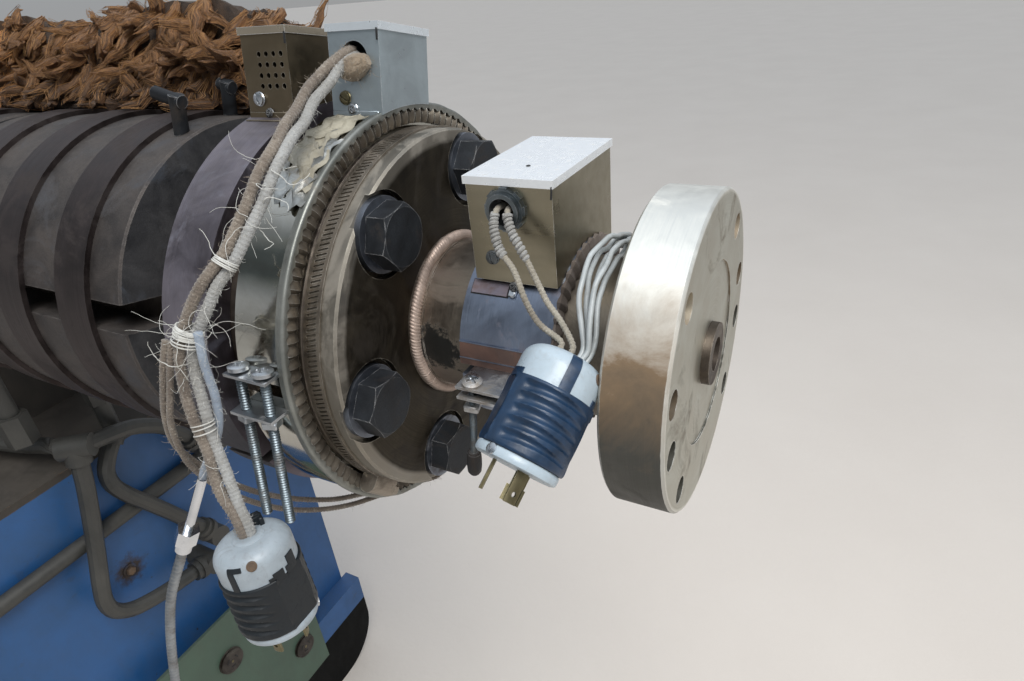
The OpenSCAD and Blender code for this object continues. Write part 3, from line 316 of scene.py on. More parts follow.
LOOKS = {
    # gold: the darker lower side of the rim and the darker end face are painted shade.
    "gold": metal("gold", (0.74, 0.71, 0.61), (0.56, 0.51, 0.40), (0.14, 0.10, 0.065), 0.3, (0.32, 0.52), pitch=0.35,
                  depth=0.03, worn=(0.80, 0.80, 0.76), low_shade_and_grime=(0.97, -0.035, 0.012, (0.030, 0.029, 0.022), (0.20, 0.125, 0.062)),
                  rim=(0.0995, (0.90, 0.89, 0.83)), face=(0.70, 0.73, 0.76)),
    "brown_steel": metal("brown_steel", (0.20, 0.17, 0.14), (0.07, 0.055, 0.045), (0.035, 0.025, 0.02), 0.6,
                         (0.38, 0.6), pitch=0.6, depth=0.06, worn=(0.42, 0.38, 0.32)),
    "head": metal("head", (0.080, 0.068, 0.050), (0.032, 0.027, 0.021), (0.020, 0.015, 0.011), 0.5, (0.42, 0.62), pitch=0.6,
                  depth=0.06, worn=(0.50, 0.47, 0.40), worn_w=1.0, rim=(0.1225, (0.30, 0.275, 0.235))),
    "neck": metal("neck", (0.33, 0.29, 0.235), (0.22, 0.19, 0.155), (0.12, 0.095, 0.075), 0.3, (0.38, 0.55), pitch=0.5,
                  depth=0.05, worn=(0.5, 0.45, 0.4), burn=True, low_shade_and_grime=(0.9, 0.035, 0.075, (0.03, 0.03, 0.025), (0.12, 0.10, 0.08))),
    "weld": metal("weld", (0.62, 0.50, 0.43), (0.40, 0.31, 0.26), (0.12, 0.09, 0.075), 0.25, (0.48, 0.68), grain="cast",
                  pitch=1.2, depth=0.08, metallic=0.55,
                  low_shade_and_grime=(0.85, 0.025, 0.075, (0.03, 0.028, 0.024), (0.14, 0.11, 0.09))),
    "ring_tan": metal("ring_tan", (0.34, 0.30, 0.25), (0.20, 0.17, 0.14), (0.09, 0.07, 0.05), 0.4, (0.35, 0.55),
                      pitch=0.6, depth=0.05, worn=(0.55, 0.52, 0.46)),
    "bolt": metal("bolt", (0.030, 0.034, 0.040), (0.012, 0.013, 0.015), (0.035, 0.026, 0.020), 0.35, (0.46, 0.68),
                  grain="cast", pitch=1.2, depth=0.14, worn=(0.38, 0.38, 0.38), worn_w=0.9, metallic=0.4, gloss=0.35),
    "washer": metal("washer", (0.25, 0.275, 0.32), (0.13, 0.14, 0.165), (0.07, 0.055, 0.045), 0.3, (0.35, 0.55),
                    grain="cast", pitch=0.9, depth=0.06, worn=(0.42, 0.45, 0.5), worn_w=0.8),
    "mirror": metal("mirror", (0.56, 0.55, 0.50), (0.44, 0.42, 0.37), (0.24, 0.18, 0.12), 0.12, (0.04, 0.12),
                    grain="rolled", pitch=1.5, depth=0.015),
    "ceramic": metal("ceramic", (0.21, 0.18, 0.16), (0.09, 0.074, 0.066), (0.06, 0.045, 0.035), 0.5, (0.6, 0.8),
                     grain="cast", pitch=0.8, depth=0.1, metallic=0.35),
    "zinc": metal("zinc", (0.58, 0.61, 0.64), (0.40, 0.42, 0.44), (0.2, 0.16, 0.12), 0.3, (0.22, 0.42),
                  grain="cast", pitch=0.9, depth=0.04, worn=(0.85, 0.86, 0.88), worn_w=0.5),
    "nut_dark": metal("nut_dark", (0.26, 0.29, 0.31), (0.13, 0.15, 0.16), (0.1, 0.085, 0.07), 0.3, (0.35, 0.55),
                      grain="cast", pitch=0.9, depth=0.08, worn=(0.42, 0.45, 0.47), worn_w=0.6),
    "tint_blue": metal("tint_blue", (0.30, 0.355, 0.46), (0.21, 0.235, 0.30), (0.19, 0.15, 0.16), 0.2, (0.32, 0.5),
                       pitch=0.7, depth=0.03),
    # tint_brown: its darkening below the axis is painted shade.
    "tint_brown": metal("tint_brown", (0.235, 0.215, 0.25), (0.135, 0.118, 0.135), (0.15, 0.165, 0.21), 0.35, (0.35, 0.55),
                        pitch=0.8, depth=0.04, dust=0.2, low_shade_and_grime=(0.92, -0.035, 0.04, (0.035, 0.031, 0.033), (0.12, 0.11, 0.13))),
    "sheet": metal("sheet", (0.36, 0.325, 0.245), (0.285, 0.255, 0.185), (0.17, 0.135, 0.09), 0.2, (0.26, 0.42),
                   grain="rolled", pitch=1.2, depth=0.05, worn=(0.85, 0.85, 0.8), worn_w=0.6, blotch=16.0),
    "sheet_tan": metal("sheet_tan", (0.205, 0.165, 0.110), (0.135, 0.105, 0.068), (0.075, 0.052, 0.033), 0.3, (0.3, 0.5),
                       grain="rolled", pitch=1.2, depth=0.04, worn=(0.60, 0.56, 0.48), worn_w=0.6, dust=0.25, blotch=16.0),
    "sheet_white": metal("sheet_white", (0.41, 0.475, 0.505), (0.31, 0.355, 0.38), (0.36, 0.34, 0.3), 0.12, (0.3, 0.44),
                         grain="rolled", pitch=1.5, depth=0.04, worn=(0.88, 0.9, 0.92), worn_w=0.6, metallic=0.75),
    # cast: its brighter, bluer faces across the axis are painted skylight; it is also a little darker towards the
    # bottom.
    "cast": metal("cast", (0.096, 0.082, 0.075), (0.044, 0.039, 0.038), (0.045, 0.047, 0.055), 0.36, (0.5, 0.75),
                  grain="cast", pitch=2.5, depth=0.35, worn=(0.17, 0.155, 0.145), worn_w=1.5, dust=0.2, metallic=0.6,
                  dust_colour=(0.15, 0.135, 0.12), low_shade_and_grime=(0.2, 0.0, 0.12, (0.022, 0.019, 0.018), (0.06, 0.05, 0.045)), face=(0.95, 1.1, 1.25)),
    "strap": metal("strap", (0.088, 0.072, 0.070), (0.047, 0.038, 0.037), (0.03, 0.024, 0.022), 0.4, (0.42, 0.62),
                   pitch=0.9, depth=0.05, worn=(0.09, 0.075, 0.07), dust=0.08, dust_colour=(0.12, 0.10, 0.09)),
    "pipe": painted("pipe", (0.046, 0.045, 0.040), (0.024, 0.025, 0.024), (0.03, 0.023, 0.018), 0.4, (0.10, 0.096, 0.085)),
    "blue": painted("blue", (0.020, 0.100, 0.285), (0.016, 0.074, 0.195), (0.03, 0.027, 0.025), 0.35,
                    dust_colour=(0.075, 0.088, 0.10), grime=0.26, rust_at=at(-782, -60, -486.5)),
    "black_paint": painted("black_paint", (0.004, 0.0045, 0.0045), (0.003, 0.003, 0.003), (0.014, 0.012, 0.01), 0.08,
                           (0.02, 0.018, 0.016), grime=0.15, rough=0.7, gloss=0.15),
    "green": painted("green", (0.064, 0.112, 0.078), (0.046, 0.080, 0.058), (0.05, 0.042, 0.035), 0.3,
                     (0.10, 0.105, 0.085), grime=0.35),
    "bakelite": painted("bakelite", (0.015, 0.0095, 0.007), (0.008, 0.005, 0.004), (0.03, 0.023, 0.017), 0.15, rough=0.5, gloss=0.35),
    "chrome": metal("chrome", (0.78, 0.80, 0.83), (0.6, 0.62, 0.65), (0.3, 0.26, 0.2), 0.15, (0.1, 0.22),
                    grain="cast", pitch=1.0, depth=0.02),
    "armour": metal("armour", (0.44, 0.47, 0.50), (0.20, 0.21, 0.22), (0.17, 0.14, 0.11), 0.35, (0.28, 0.45),
                    grain="cast", pitch=1.0, depth=0.03),
    "brass": metal("brass", (0.25, 0.22, 0.125), (0.13, 0.112, 0.065), (0.07, 0.055, 0.03), 0.4, (0.32, 0.52),
                   grain="cast", pitch=0.8, depth=0.03, worn=(0.50, 0.46, 0.32), worn_w=0.4),
}


def plastic(name, light, dark, rough, dirt, dirt_share=0.3, depth=0.05, scatter=0.0):
    look = Look(name)
    tone = look.noise(60.0, 5.0, 0.6, 0.3)
    colour = look.mix(look.level(tone, 0.3, 0.7), dark, light)
    marks = look.noise(110.0, 9.0, 0.75, 1.5)
    share = look.level(marks, 0.52, 0.72, 0.0, dirt_share)
    colour = look.mix(share, colour, dirt)
    shine = look.math("ADD", look.level(tone, 0.3, 0.7, rough - 0.06, rough + 0.08), share, True)
    fine = look.noise(700.0, 4.0, 0.6)
    more = {"Subsurface_Weight": scatter} if scatter else {}
    if scatter:
        look.shader.inputs["Subsurface Radius"].default_value = (0.002, 0.0016, 0.0014)
        look.shader.inputs["Subsurface Scale"].default_value = 1.0
    return look.done(colour, shine, 0.0, look.bump(fine, depth), **more)


# The blue in the rubber is a painted sky reflection and the blue in the nylon painted skylight; the darker copies of
# both, used on plug 1, are painted shade.
LOOKS["rubber_sky_sheen"] = plastic("rubber_sky_sheen", (0.014, 0.044, 0.100), (0.006, 0.018, 0.040), 0.36, (0.04, 0.05, 0.06), 0.25)
LOOKS["rubber_shaded"] = plastic("rubber_shaded", (0.005, 0.009, 0.013), (0.002, 0.004, 0.006), 0.5, (0.014, 0.017, 0.02), 0.3)
LOOKS["nylon_sky_lit"] = plastic("nylon_sky_lit", (0.45, 0.535, 0.60), (0.37, 0.44, 0.49), 0.32, (0.22, 0.20, 0.17), 0.3, 0.02, 0.1)
LOOKS["nylon_shaded"] = plastic("nylon_shaded", (0.36, 0.41, 0.45), (0.28, 0.32, 0.35), 0.36, (0.17, 0.15, 0.13), 0.4, 0.02, 0.1)
LOOKS["wire"] = plastic("wire", (0.46, 0.49, 0.50), (0.32, 0.34, 0.34), 0.38, (0.18, 0.155, 0.125), 0.5)


def braid(name, light, dark, soot, scale=1.0):
    """Woven glass sleeving, browned by heat."""
    look = Look(name)
    tone = look.noise(28.0, 7.0, 0.7, 0.8)
    colour = look.ramp(tone, (0.25, soot), (0.45, dark), (0.7, light))
    weave = look.cells(1500.0 / scale)
    threads = look.noise(500.0, 6.0, 0.7, 1.0)
    colour = look.mix(look.level(weave, 0.1, 0.7, 0.0, 0.45), colour, dark)
    colour = look.mix(look.level(threads, 0.55, 0.75, 0.0, 0.5), colour, (0.75, 0.7, 0.6))
    height = look.math("ADD", look.math("MULTIPLY", weave, -0.7), threads)
    return look.done(colour, 0.85, 0.0, look.bump(height, 0.5), Sheen_Weight=0.25)


LOOKS["sleeve_tan"] = braid("sleeve_tan", (0.30, 0.255, 0.205), (0.15, 0.12, 0.095), (0.05, 0.038, 0.03))
LOOKS["sleeve_white"] = braid("sleeve_white", (0.48, 0.49, 0.49), (0.28, 0.275, 0.26), (0.10, 0.085, 0.07))
LOOKS["sleeve_cream"] = braid("sleeve_cream", (0.46, 0.43, 0.36), (0.28, 0.25, 0.20), (0.12, 0.095, 0.07))
LOOKS["sleeve_blue"] = braid("sleeve_blue", (0.42, 0.49, 0.58), (0.26, 0.31, 0.38), (0.10, 0.10, 0.12))


def fibre(name, light, dark, deep, scale):
    """Loose mineral wool: golden fibres over brown shadows."""
    look = Look(name)
    tone = look.noise(30.0 * scale, 8.0, 0.7, 1.2)
    colour = look.ramp(tone, (0.3, deep), (0.5, dark), (0.72, light))
    lines = look.noise(260.0, 9.0, 0.75, 3.5, look.stretch(1, 0.5, 1.4))
    colour = look.mix(look.level(lines, 0.4, 0.66, 0.0, 0.6), colour, light)
    colour = look.mix(look.level(look.cells(70.0), 0.0, 0.35, 0.55, 0.0), colour, deep)
    colour = look.mix(look.level(look.station(), 0.7, 0.85), colour, (3.4, 3.0, 2.4), "MULTIPLY")
    height = look.math("ADD", lines, look.math("MULTIPLY", tone, 0.8))
    return look.done(colour, 0.95, 0.0, look.bump(height, 3.0), Sheen_Weight=0.08)


def combed(name, light, dark, deep):
    """Locks of wool, streaked along their length by the coordinates that locks() gives them, and darkened near the
    barrel as painted shade.
    """
    look = Look(name)
    along = look.add("ShaderNodeAttribute", attribute_name="lock").outputs["Vector"]
    streaks = look.noise(0.9, 4.0, 0.6, 0.6, along)
    fine = look.noise(3.4, 3.0, 0.6, 0.4, along)
    tone = look.noise(30.0, 5.0, 0.6)
    colour = look.ramp(streaks, (0.3, deep), (0.46, dark), (0.64, light))
    colour = look.mix(look.level(tone, 0.35, 0.65, 0.0, 0.6), colour, dark)
    colour = look.mix(look.level(fine, 0.5, 0.72, 0.0, 0.55), colour, (0.56, 0.31, 0.125))
    # Darker near the barrel, on the locks' underside: painted shade.
    foot = look.math("ADD", look.radius(), look.math("MULTIPLY", tone, 0.03))
    colour = look.mix(look.level(foot, 0.195, 0.168, 0.0, 0.6), colour, deep)
    height = look.math("ADD", look.math("MULTIPLY", streaks, 1.4), fine)
    return look.done(colour, 0.9, 0.0, look.bump(height, 2.0), Sheen_Weight=0.08)


LOOKS["wool"] = fibre("wool", (0.10, 0.052, 0.022), (0.034, 0.017, 0.008), (0.008, 0.0045, 0.003), 1.0)
LOOKS["wool_fibre"] = fibre("wool_fibre", (0.58, 0.31, 0.115), (0.28, 0.13, 0.042), (0.06, 0.026, 0.010), 1.6)
LOOKS["wool_lock"] = combed("wool_lock", (0.48, 0.225, 0.070), (0.165, 0.069, 0.021), (0.014, 0.0055, 0.0025))
LOOKS["grime"] = painted("grime", (0.045, 0.038, 0.03), (0.02, 0.018, 0.016), (0.12, 0.07, 0.04), 0.5,
                         dust_colour=(0.10, 0.085, 0.07), rough=0.6)
LOOKS["thread"] = metal("thread", (0.26, 0.31, 0.34), (0.13, 0.15, 0.165), (0.12, 0.10, 0.08), 0.25, (0.34, 0.55),
                        grain="cast", pitch=0.8, depth=0.03)
LOOKS["beads"] = metal("beads", (0.20, 0.175, 0.14), (0.075, 0.063, 0.05), (0.055, 0.042, 0.032), 0.4, (0.35, 0.55),
                       grain="cast", pitch=0.6, depth=0.1, worn=(0.62, 0.62, 0.58), worn_w=0.5, metallic=0.8)
LOOKS["lip"] = metal("lip", (0.29, 0.295, 0.275), (0.155, 0.16, 0.145), (0.2, 0.17, 0.13), 0.25, (0.32, 0.5),
                     grain="cast", pitch=0.8, depth=0.08, metallic=0.7)
LOOKS["strip"] = metal("strip", (0.22, 0.125, 0.095), (0.11, 0.07, 0.06), (0.06, 0.045, 0.04), 0.4, (0.4, 0.6),
                       grain="rolled", pitch=1.0, depth=0.05, worn=(0.42, 0.36, 0.33), worn_w=0.4, metallic=0.6)
LOOKS["tab"] = metal("tab", (0.29, 0.215, 0.215), (0.22, 0.21, 0.26), (0.13, 0.08, 0.07), 0.35, (0.4, 0.6), grain="rolled",
                     pitch=1.0, depth=0.05, metallic=0.7)
LOOKS["foil"] = metal("foil", (0.55, 0.56, 0.54), (0.30, 0.30, 0.28), (0.2, 0.15, 0.1), 0.3, (0.25, 0.45),
                      grain="cast", pitch=2.0, depth=0.3)
LOOKS["mica"] = plastic("mica", (0.40, 0.37, 0.29), (0.22, 0.20, 0.155), 0.35, (0.10, 0.085, 0.06), 0.7)
LOOKS["slit"] = plastic("slit", (0.02, 0.02, 0.02), (0.01, 0.01, 0.01), 0.7, (0.05, 0.04, 0.03))
LOOKS["rust_spot"] = plastic("rust_spot", (0.16, 0.10, 0.06), (0.07, 0.05, 0.035), 0.7, (0.25, 0.16, 0.09))
LOOKS["thread_white"] = plastic("thread_white", (0.62, 0.62, 0.59), (0.44, 0.43, 0.39), 0.6, (0.3, 0.26, 0.2))
LOOKS["thread_tan"] = plastic("thread_tan", (0.36, 0.31, 0.25), (0.2, 0.16, 0.12), 0.7, (0.1, 0.08, 0.06))
LOOKS["sleeve_knob"] = braid("sleeve_knob", (0.42, 0.34, 0.25), (0.25, 0.19, 0.13), (0.07, 0.05, 0.035))

NODE_LOOKS = {
    "outlet_nipple": "brown_steel", "end_flange": "gold", "adapter_neck": "neck",
    "head_flange": "head", "head_bolts": "bolt", "head_washers": "washer",
    "adapter_ring": "brown_steel", "barrel_flange": "brown_steel", "clamp_band": "ring_tan",
    "head_heater": "mirror", "head_heater_ceramic": "ceramic", "head_heater_ears": "zinc",
    "head_heater_rods": "zinc", "flange_heater": "tint_brown", "neck_heater": "tint_blue",
    "neck_heater_ceramic": "ceramic", "neck_heater_ears": "zinc", "neck_heater_screws": "zinc",
    "neck_box": "sheet", "head_box": "sheet_white", "flange_box": "sheet_tan", "box_covers": "lids",
    "conduit_nut": "nut_dark", "barrel": "brown_steel", "cast_heater_1": "cast", "cast_heater_2": "cast",
    "cast_heater_3": "cast", "cast_heater_4": "cast", "zone_straps": "strap", "barrel_stubs": "bolt",
    "rear_flange": "brown_steel", "barrel_supports": "grime", "insulation_blanket": "sleeve_tan",
    "base_top": "grime", "base_end_panels": "blue", "base_side_panels": "blue", "base_rails": "blue",
    "skids": "black_paint", "outlet_panel": "green", "outlets": "bakelite", "cross_pipe": "pipe",
    "supply_pipe": "pipe", "return_pipe": "pipe", "header_pipe": "pipe", "pipe_fittings": "pipe",
    "zone_pipes": "pipe", "probe": "chrome", "plug_1_body": "rubber_sky_sheen", "plug_1_cap": "nylon_sky_lit",
    "plug_1_blades": "brass", "plug_2_body": "rubber_sky_sheen", "plug_2_cap": "nylon_sky_lit", "plug_2_blades": "brass",
}


def lid_look():
    """The three lids in one look: bright, bluish and tan by their station."""
    look = Look("lids")
    back = look.station()
    tone = look.noise(30.0, 6.0, 0.6)
    grit = look.noise(220.0, 8.0, 0.75)
    far = look.mix(look.level(back, 0.262, 0.263), (0.70, 0.75, 0.79), (0.30, 0.26, 0.20))
    colour = look.mix(look.level(back, 0.17, 0.171), (0.90, 0.93, 0.96), far)
    colour = look.mix(look.level(tone, 0.4, 0.75, 0.0, 0.25), colour, (0.6, 0.6, 0.58), "MULTIPLY")
    up = look.level(look.upward(), 0.5, 0.95)
    dirt = look.math("MULTIPLY", look.level(grit, 0.52, 0.66, 0.0, 0.6), up)
    colour = look.mix(dirt, colour, (0.32, 0.30, 0.26))
    colour = look.mix(look.math("MULTIPLY", look.edges(0.7), 0.7), colour, (0.92, 0.93, 0.94))
    shine = look.math("ADD", look.level(tone, 0.3, 0.7, 0.2, 0.36), look.math("MULTIPLY", dirt, 0.4), True)
    return look.done(colour, shine, look.math("SUBTRACT", 0.55, dirt, True), look.bump(look.math("ADD", tone, grit), 0.05))


LOOKS["lids"] = lid_look()
for node, look in NODE_LOOKS.items():
    NODES[node].data.materials.clear()
    NODES[node].data.materials.append(LOOKS[look])


# Meshes

def mesh_piece(name, points, faces, look, smooth=True):
    mesh = bpy.data.meshes.new(name)
    mesh.from_pydata([tuple(p) for p in points], [], [tuple(f) for f in faces])
    mesh.validate()
    mesh.polygons.foreach_set("use_smooth", [smooth] * len(mesh.polygons))
    mesh.materials.append(LOOKS[look])
    obj = bpy.data.objects.new(name, mesh)
    bpy.context.scene.collection.objects.link(obj)
    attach(obj, "root")
    return obj


def smooth_line(route, steps=6):
    """A curve through the route, as the CAD tubes have it, with more points."""
    p = [np.array(q, float) for q in route]
    out = []
    for i in range(len(p) - 1):
        a, b, c, d = p[max(i - 1, 0)], p[i], p[i + 1], p[min(i + 2, len(p) - 1)]
        for k in range(steps):
            t = k / steps
            out.append(b + 0.5 * t * (c - a + t * (2 * a - 5 * b + 4 * c - d + t * (3 * (b - c) + d - a))))
    out.append(p[-1])
    return np.array(out)


def frames(line):
    """Tangent and two normals at each point, without twist."""
    t = np.gradient(line, axis=0)
    t /= np.linalg.norm(t, axis=1)[:, None]
    u = np.cross(t[0], [0.3, 0.2, 0.93])
    us = []
    for k in range(len(line)):
        u = u - np.dot(u, t[k]) * t[k]
        u /= np.linalg.norm(u)
        us.append(u.copy())
    us = np.array(us)
    return t, us, np.cross(t, us)


def tube_mesh(line, radius, sides=10):
    """Points and faces of a tube round a line; radius is one number or one for each point."""
    t, u, v = frames(line)
    r = np.broadcast_to(np.asarray(radius, float), (len(line),))
    a = np.arange(sides) * 2 * math.pi / sides
    points = (line[:, None, :] + r[:, None, None] * (np.cos(a)[None, :, None] * u[:, None, :]
              + np.sin(a)[None, :, None] * v[:, None, :])).reshape(-1, 3)
    faces = [[i * sides + k, i * sides + (k + 1) % sides, (i + 1) * sides + (k + 1) % sides, (i + 1) * sides + k]
             for i in range(len(line) - 1) for k in range(sides)]
    faces += [list(range(sides))[::-1], [(len(line) - 1) * sides + k for k in range(sides)]]
    return points, faces


def line_length(line):
    return float(np.linalg.norm(np.diff(line, axis=0), axis=1).sum())


def to_row(points):
    """Millimetres from the flange face to metres in the row frame."""
    return np.asarray(points, float) * MM + np.array([FX, 0, AX])


# Cords: the routes repeat those of the CAD source, in millimetres from the end flange face

def unit(v):
    v = np.array(v, float)
    return v / np.linalg.norm(v)


PLUG_H, TINY = 66, 0.3
plug_1_p, plug_1_d = np.array([-218, -197, -129.0]), unit([-8, 3.5, 59])
plug_2_p, plug_2_d = np.array([-69.5, -135.4, -6.9]), unit([8.5, 38, 30])
plug_1_top, plug_2_top = plug_1_p + PLUG_H * plug_1_d, plug_2_p + PLUG_H * plug_2_d
probe_top, probe_d, probe_len = np.array([-270, -182, -41.0]), unit([26, 11, 50]), 72
tie = np.array([-255, -165, 58.0])
bundle_route = [
    (-234.5, -3, 181), (-235, -12, 180), (-237, -23, 175), (-239, -35, 168), (-239, -48, 162), (-236, -62, 154),
    (-231, -78, 149), (-227, -93, 142), (-226, -106, 133), (-227, -118, 121), (-231, -130, 107), (-236, -142, 93),
    (-243, -154, 80), tie, (-257, -171, 42), (-254, -176, 24), (-249, -181, 4), (-243, -185, -14),
    (-237, -189, -34), plug_1_top + 13 * plug_1_d, plug_1_top + TINY * plug_1_d,
]
loop_route = [
    tie + [-9, -8, -3], (-270, -178, 34), (-280, -181, 6), (-288, -180, -20), (-293, -172, -46), (-298, -152, -84),
    (-296, -124, -122), (-284, -96, -146), (-266, -70, -156), (-246, -46, -158), (-226, -30, -155),
    (-211, -22, -148), (-206, -20, -131.9),
]
wire_route = [
    tie + [9.6, -1, 2], (-247, -168, 40), (-246, -169, 18), (-251, -173, -6), probe_top + 12 * probe_d,
    probe_top + TINY * probe_d,
]
lead_1_end, lead_2_end, white_end = (
    plug_2_top + np.array(q) + TINY * plug_2_d for q in ([-9, 2, 0], [-1, 0.2, 0], [8, -1.8, 0]))
lead_1_route = [
    (-113, -43, 102), (-113, -52, 101.6), (-112, -58.5, 93), (-107, -62.5, 82), (-97, -67, 73), (-88, -73, 58),
    (-80, -74, 46), lead_1_end + 7 * plug_2_d, lead_1_end,
]
lead_2_route = [
    (-106, -43, 102), (-106, -52, 101.6), (-101, -58.5, 93), (-93, -62, 82), (-85, -65, 70), (-77, -69, 58),
    (-67, -72, 48), lead_2_end + 7 * plug_2_d, lead_2_end,
]
white_route = [
    (-76.7, 36, 53), (-71, 36, 53.5), (-62, 26, 60), (-58, 6, 67), (-56, -10, 70), (-55, -24, 73), (-55, -40, 72),
    (-54, -55, 66), (-53, -66, 57), white_end + 9 * plug_2_d, white_end,
]
probe_lead_route = [
    probe_top - (probe_len + TINY) * probe_d, probe_top - (probe_len + 12) * probe_d, (-326, -206, -150),
    (-343, -211, -192), (-357, -216, -238), (-370, -221, -290), (-385, -222, -350), (-410, -222, -430),
    (-450, -218, -520), (-500, -205, -610), (-560, -190, -700), (-620, -172, -780), (-675, -150, -850),
    (-712, -130, -884), (-731, -120, -895), (-742.7, -120, -895),
]


RIDGE = np.array([0.0, 0.15, 1.0, 0.85])


def strand(name, route, r, look, side=(0, 0), turns=0.0, wander=0.0, seed=0, steps=6,
           replaces=(), spread=None, ridge=None, sides=10, beside=0.0):
    """One cord of a group. It keeps to one side of the group's route, turns about it and wanders a little."""
    line = smooth_line(route, steps)
    t, u, v = frames(line)
    s = np.concatenate([[0], np.cumsum(np.linalg.norm(np.diff(line, axis=0), axis=1))])
    s /= s[-1]
    angle = 2 * math.pi * turns * s
    scale = np.ones(len(line)) if spread is None else np.interp(s, *spread)
    a, b = side[0] * scale, side[1] * scale
    if wander:
        bend = np.array([[noise.noise(Vector((seed * 1.7, k * 0.16, 0.5))), noise.noise(Vector((seed * 1.7 + 9, k * 0.16, 1.5)))]
                         for k in range(len(line))])
        fade = np.clip(np.minimum(s, 1 - s) * 12, 0, 1)
        a, b = a + wander * bend[:, 0] * fade, b + wander * bend[:, 1] * fade
    line = line + (a * np.cos(angle) - b * np.sin(angle))[:, None] * u + (a * np.sin(angle) + b * np.cos(angle))[:, None] * v
    if beside:
        apart = np.cross(t, unit([0.65, -0.62, 0.43]))
        line = line + beside * np.clip(np.minimum(s, 1 - s) * 12, 0.6, 1)[:, None] * apart / np.linalg.norm(apart, axis=1)[:, None]
    row = to_row(line)
    if ridge is None:
        points, faces = tube_mesh(row, r * MM, sides)
    else:
        pitch, depth = ridge
        total = line_length(row)
        n = int(total / (pitch * MM)) * 4
        dist = np.concatenate([[0], np.cumsum(np.linalg.norm(np.diff(row, axis=0), axis=1))])
        even = np.linspace(0, total, n + 1)
        fine = np.stack([np.interp(even, dist, row[:, k]) for k in range(3)], axis=1)
        points, faces = tube_mesh(fine, (r - depth * RIDGE[np.arange(n + 1) % 4]) * MM, sides)
    obj = mesh_piece(name, points, faces, look)
    if replaces:
        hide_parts(*replaces)
    return obj, row


LOOP_SPREAD = ([0, 0.12, 0.45, 0.85, 1], [0.7, 1.2, 2.2, 2.6, 1.0])
bundle_rows = [
    strand("bundle_tan", bundle_route, 3.4, "sleeve_tan", (0, 0), 0, 1.2, 1, ridge=(2.6, 0.35), sides=12, beside=3.5,
           replaces=["lead_bundle"])[1],
    strand("bundle_pale", bundle_route, 3.4, "sleeve_white", (0, 0), 0, 1.2, 2, ridge=(2.6, 0.3), sides=12, beside=-3.5)[1],
]
loop_rows = [
    strand("loop_tan", loop_route, 2.2, "sleeve_tan", (2.0, 0.4), 0.6, 1.5, 3, replaces=["loop_leads"], ridge=(2.4, 0.3),
           spread=LOOP_SPREAD)[1],
    strand("loop_pale", loop_route, 2.2, "sleeve_tan", (-2.0, -0.4), 0.6, 1.5, 4, spread=LOOP_SPREAD, ridge=(2.4, 0.3))[1],
]
wire_row = strand("probe_wire_sleeve", wire_route, 2.6, "sleeve_blue", wander=0.6, seed=5,
                  replaces=["probe_wire"])[1]
strand("box_lead_1", lead_1_route, 1.9, "sleeve_cream", wander=0.5, seed=6, replaces=["box_leads"], ridge=(2.2, 0.3))
strand("box_lead_2", lead_2_route, 1.9, "sleeve_cream", wander=0.5, seed=7, ridge=(2.2, 0.3))
for i, (a, b) in enumerate([(2.6, 0.6), (0.9, 2.5), (-2.3, 1.5), (-2.2, -1.7), (1.0, -2.4)]):
    strand(f"white_lead_{i + 1}", white_route, 1.6, "wire", (a, b), 0.15 + 0.05 * i, 1.6, 11 + i,
           spread=([0, 0.25, 0.6, 0.9, 1], [0.9, 1.5, 2.7, 1.5, 0.8]), replaces=["white_leads"] if i == 0 else ())
strand("probe_armour", probe_lead_route, 3.6, "armour",
       replaces=["probe_lead"], ridge=(4.2, 1.3), sides=14)


# Parts of the detail pieces: each is a pair of points, in millimetres, and faces

def placed(part, origin, ahead=(0, 0, 1), side=(1, 0, 0)):
    """The part moved to an origin, its z axis along ahead and its x axis near side."""
    z = unit(ahead)
    x = np.array(side, float)
    x = unit(x - x.dot(z) * z)
    return np.asarray(part[0]) @ np.array([x, np.cross(z, x), z]) + np.array(origin, float), part[1]


def grid(rows, columns, closed=True):
    """Faces of a grid of points that closes on itself across its rows."""
    wide = columns if closed else columns - 1
    return [[i * columns + k, i * columns + (k + 1) % columns, (i + 1) * columns + (k + 1) % columns, (i + 1) * columns + k]
            for i in range(rows - 1) for k in range(wide)]


def lathe(profile, sides=40, shape=None):
    """A turned solid; shape changes its radius by angle and height."""
    profile = np.array(profile, float)
    a = np.arange(sides) * 2 * math.pi / sides
    r = np.repeat(profile[:, :1], sides, axis=1)
    z = np.repeat(profile[:, 1:], sides, axis=1)
    if shape:
        r = shape(r, z, np.broadcast_to(a, r.shape))
    points = np.stack([r * np.cos(a), r * np.sin(a), z], axis=2).reshape(-1, 3)
    end = (len(profile) - 1) * sides
    return points, grid(len(profile), sides) + [list(range(sides))[::-1], list(range(end, end + sides))]


def pan_head(r, h, slot="", turn=0.0):
    """A domed screw head with one slot, a cross or nothing cut into it."""
    share = np.array([0.02, 0.1, 0.17, 0.24, 0.32, 0.4, 0.48, 0.56, 0.64, 0.72, 0.8, 0.88, 0.95, 1.0])
    a = np.arange(48) * 2 * math.pi / 48
    x, y = (share[:, None] * np.cos(a - turn)), (share[:, None] * np.sin(a - turn))
    z = h * np.sqrt(np.clip(1 - 0.62 * share ** 2, 0, 1))[:, None] + 0 * a
    reach = 0.95 if slot == "slot" else 0.62
    cut = (np.abs(y) < 0.14) & (np.abs(x) < reach)
    if slot == "cross":
        cut |= (np.abs(x) < 0.14) & (np.abs(y) < reach)
    z = np.where(cut & bool(slot), z - 0.45 * h, z)
    top = np.stack([r * share[:, None] * np.cos(a), r * share[:, None] * np.sin(a), z], axis=2).reshape(-1, 3)
    foot = np.stack([r * np.cos(a), r * np.sin(a), 0 * a], axis=1)
    points = np.concatenate([top, foot])
    return points, [f[::-1] for f in grid(15, 48)] + [list(range(48)), [14 * 48 + k for k in range(48)][::-1]]


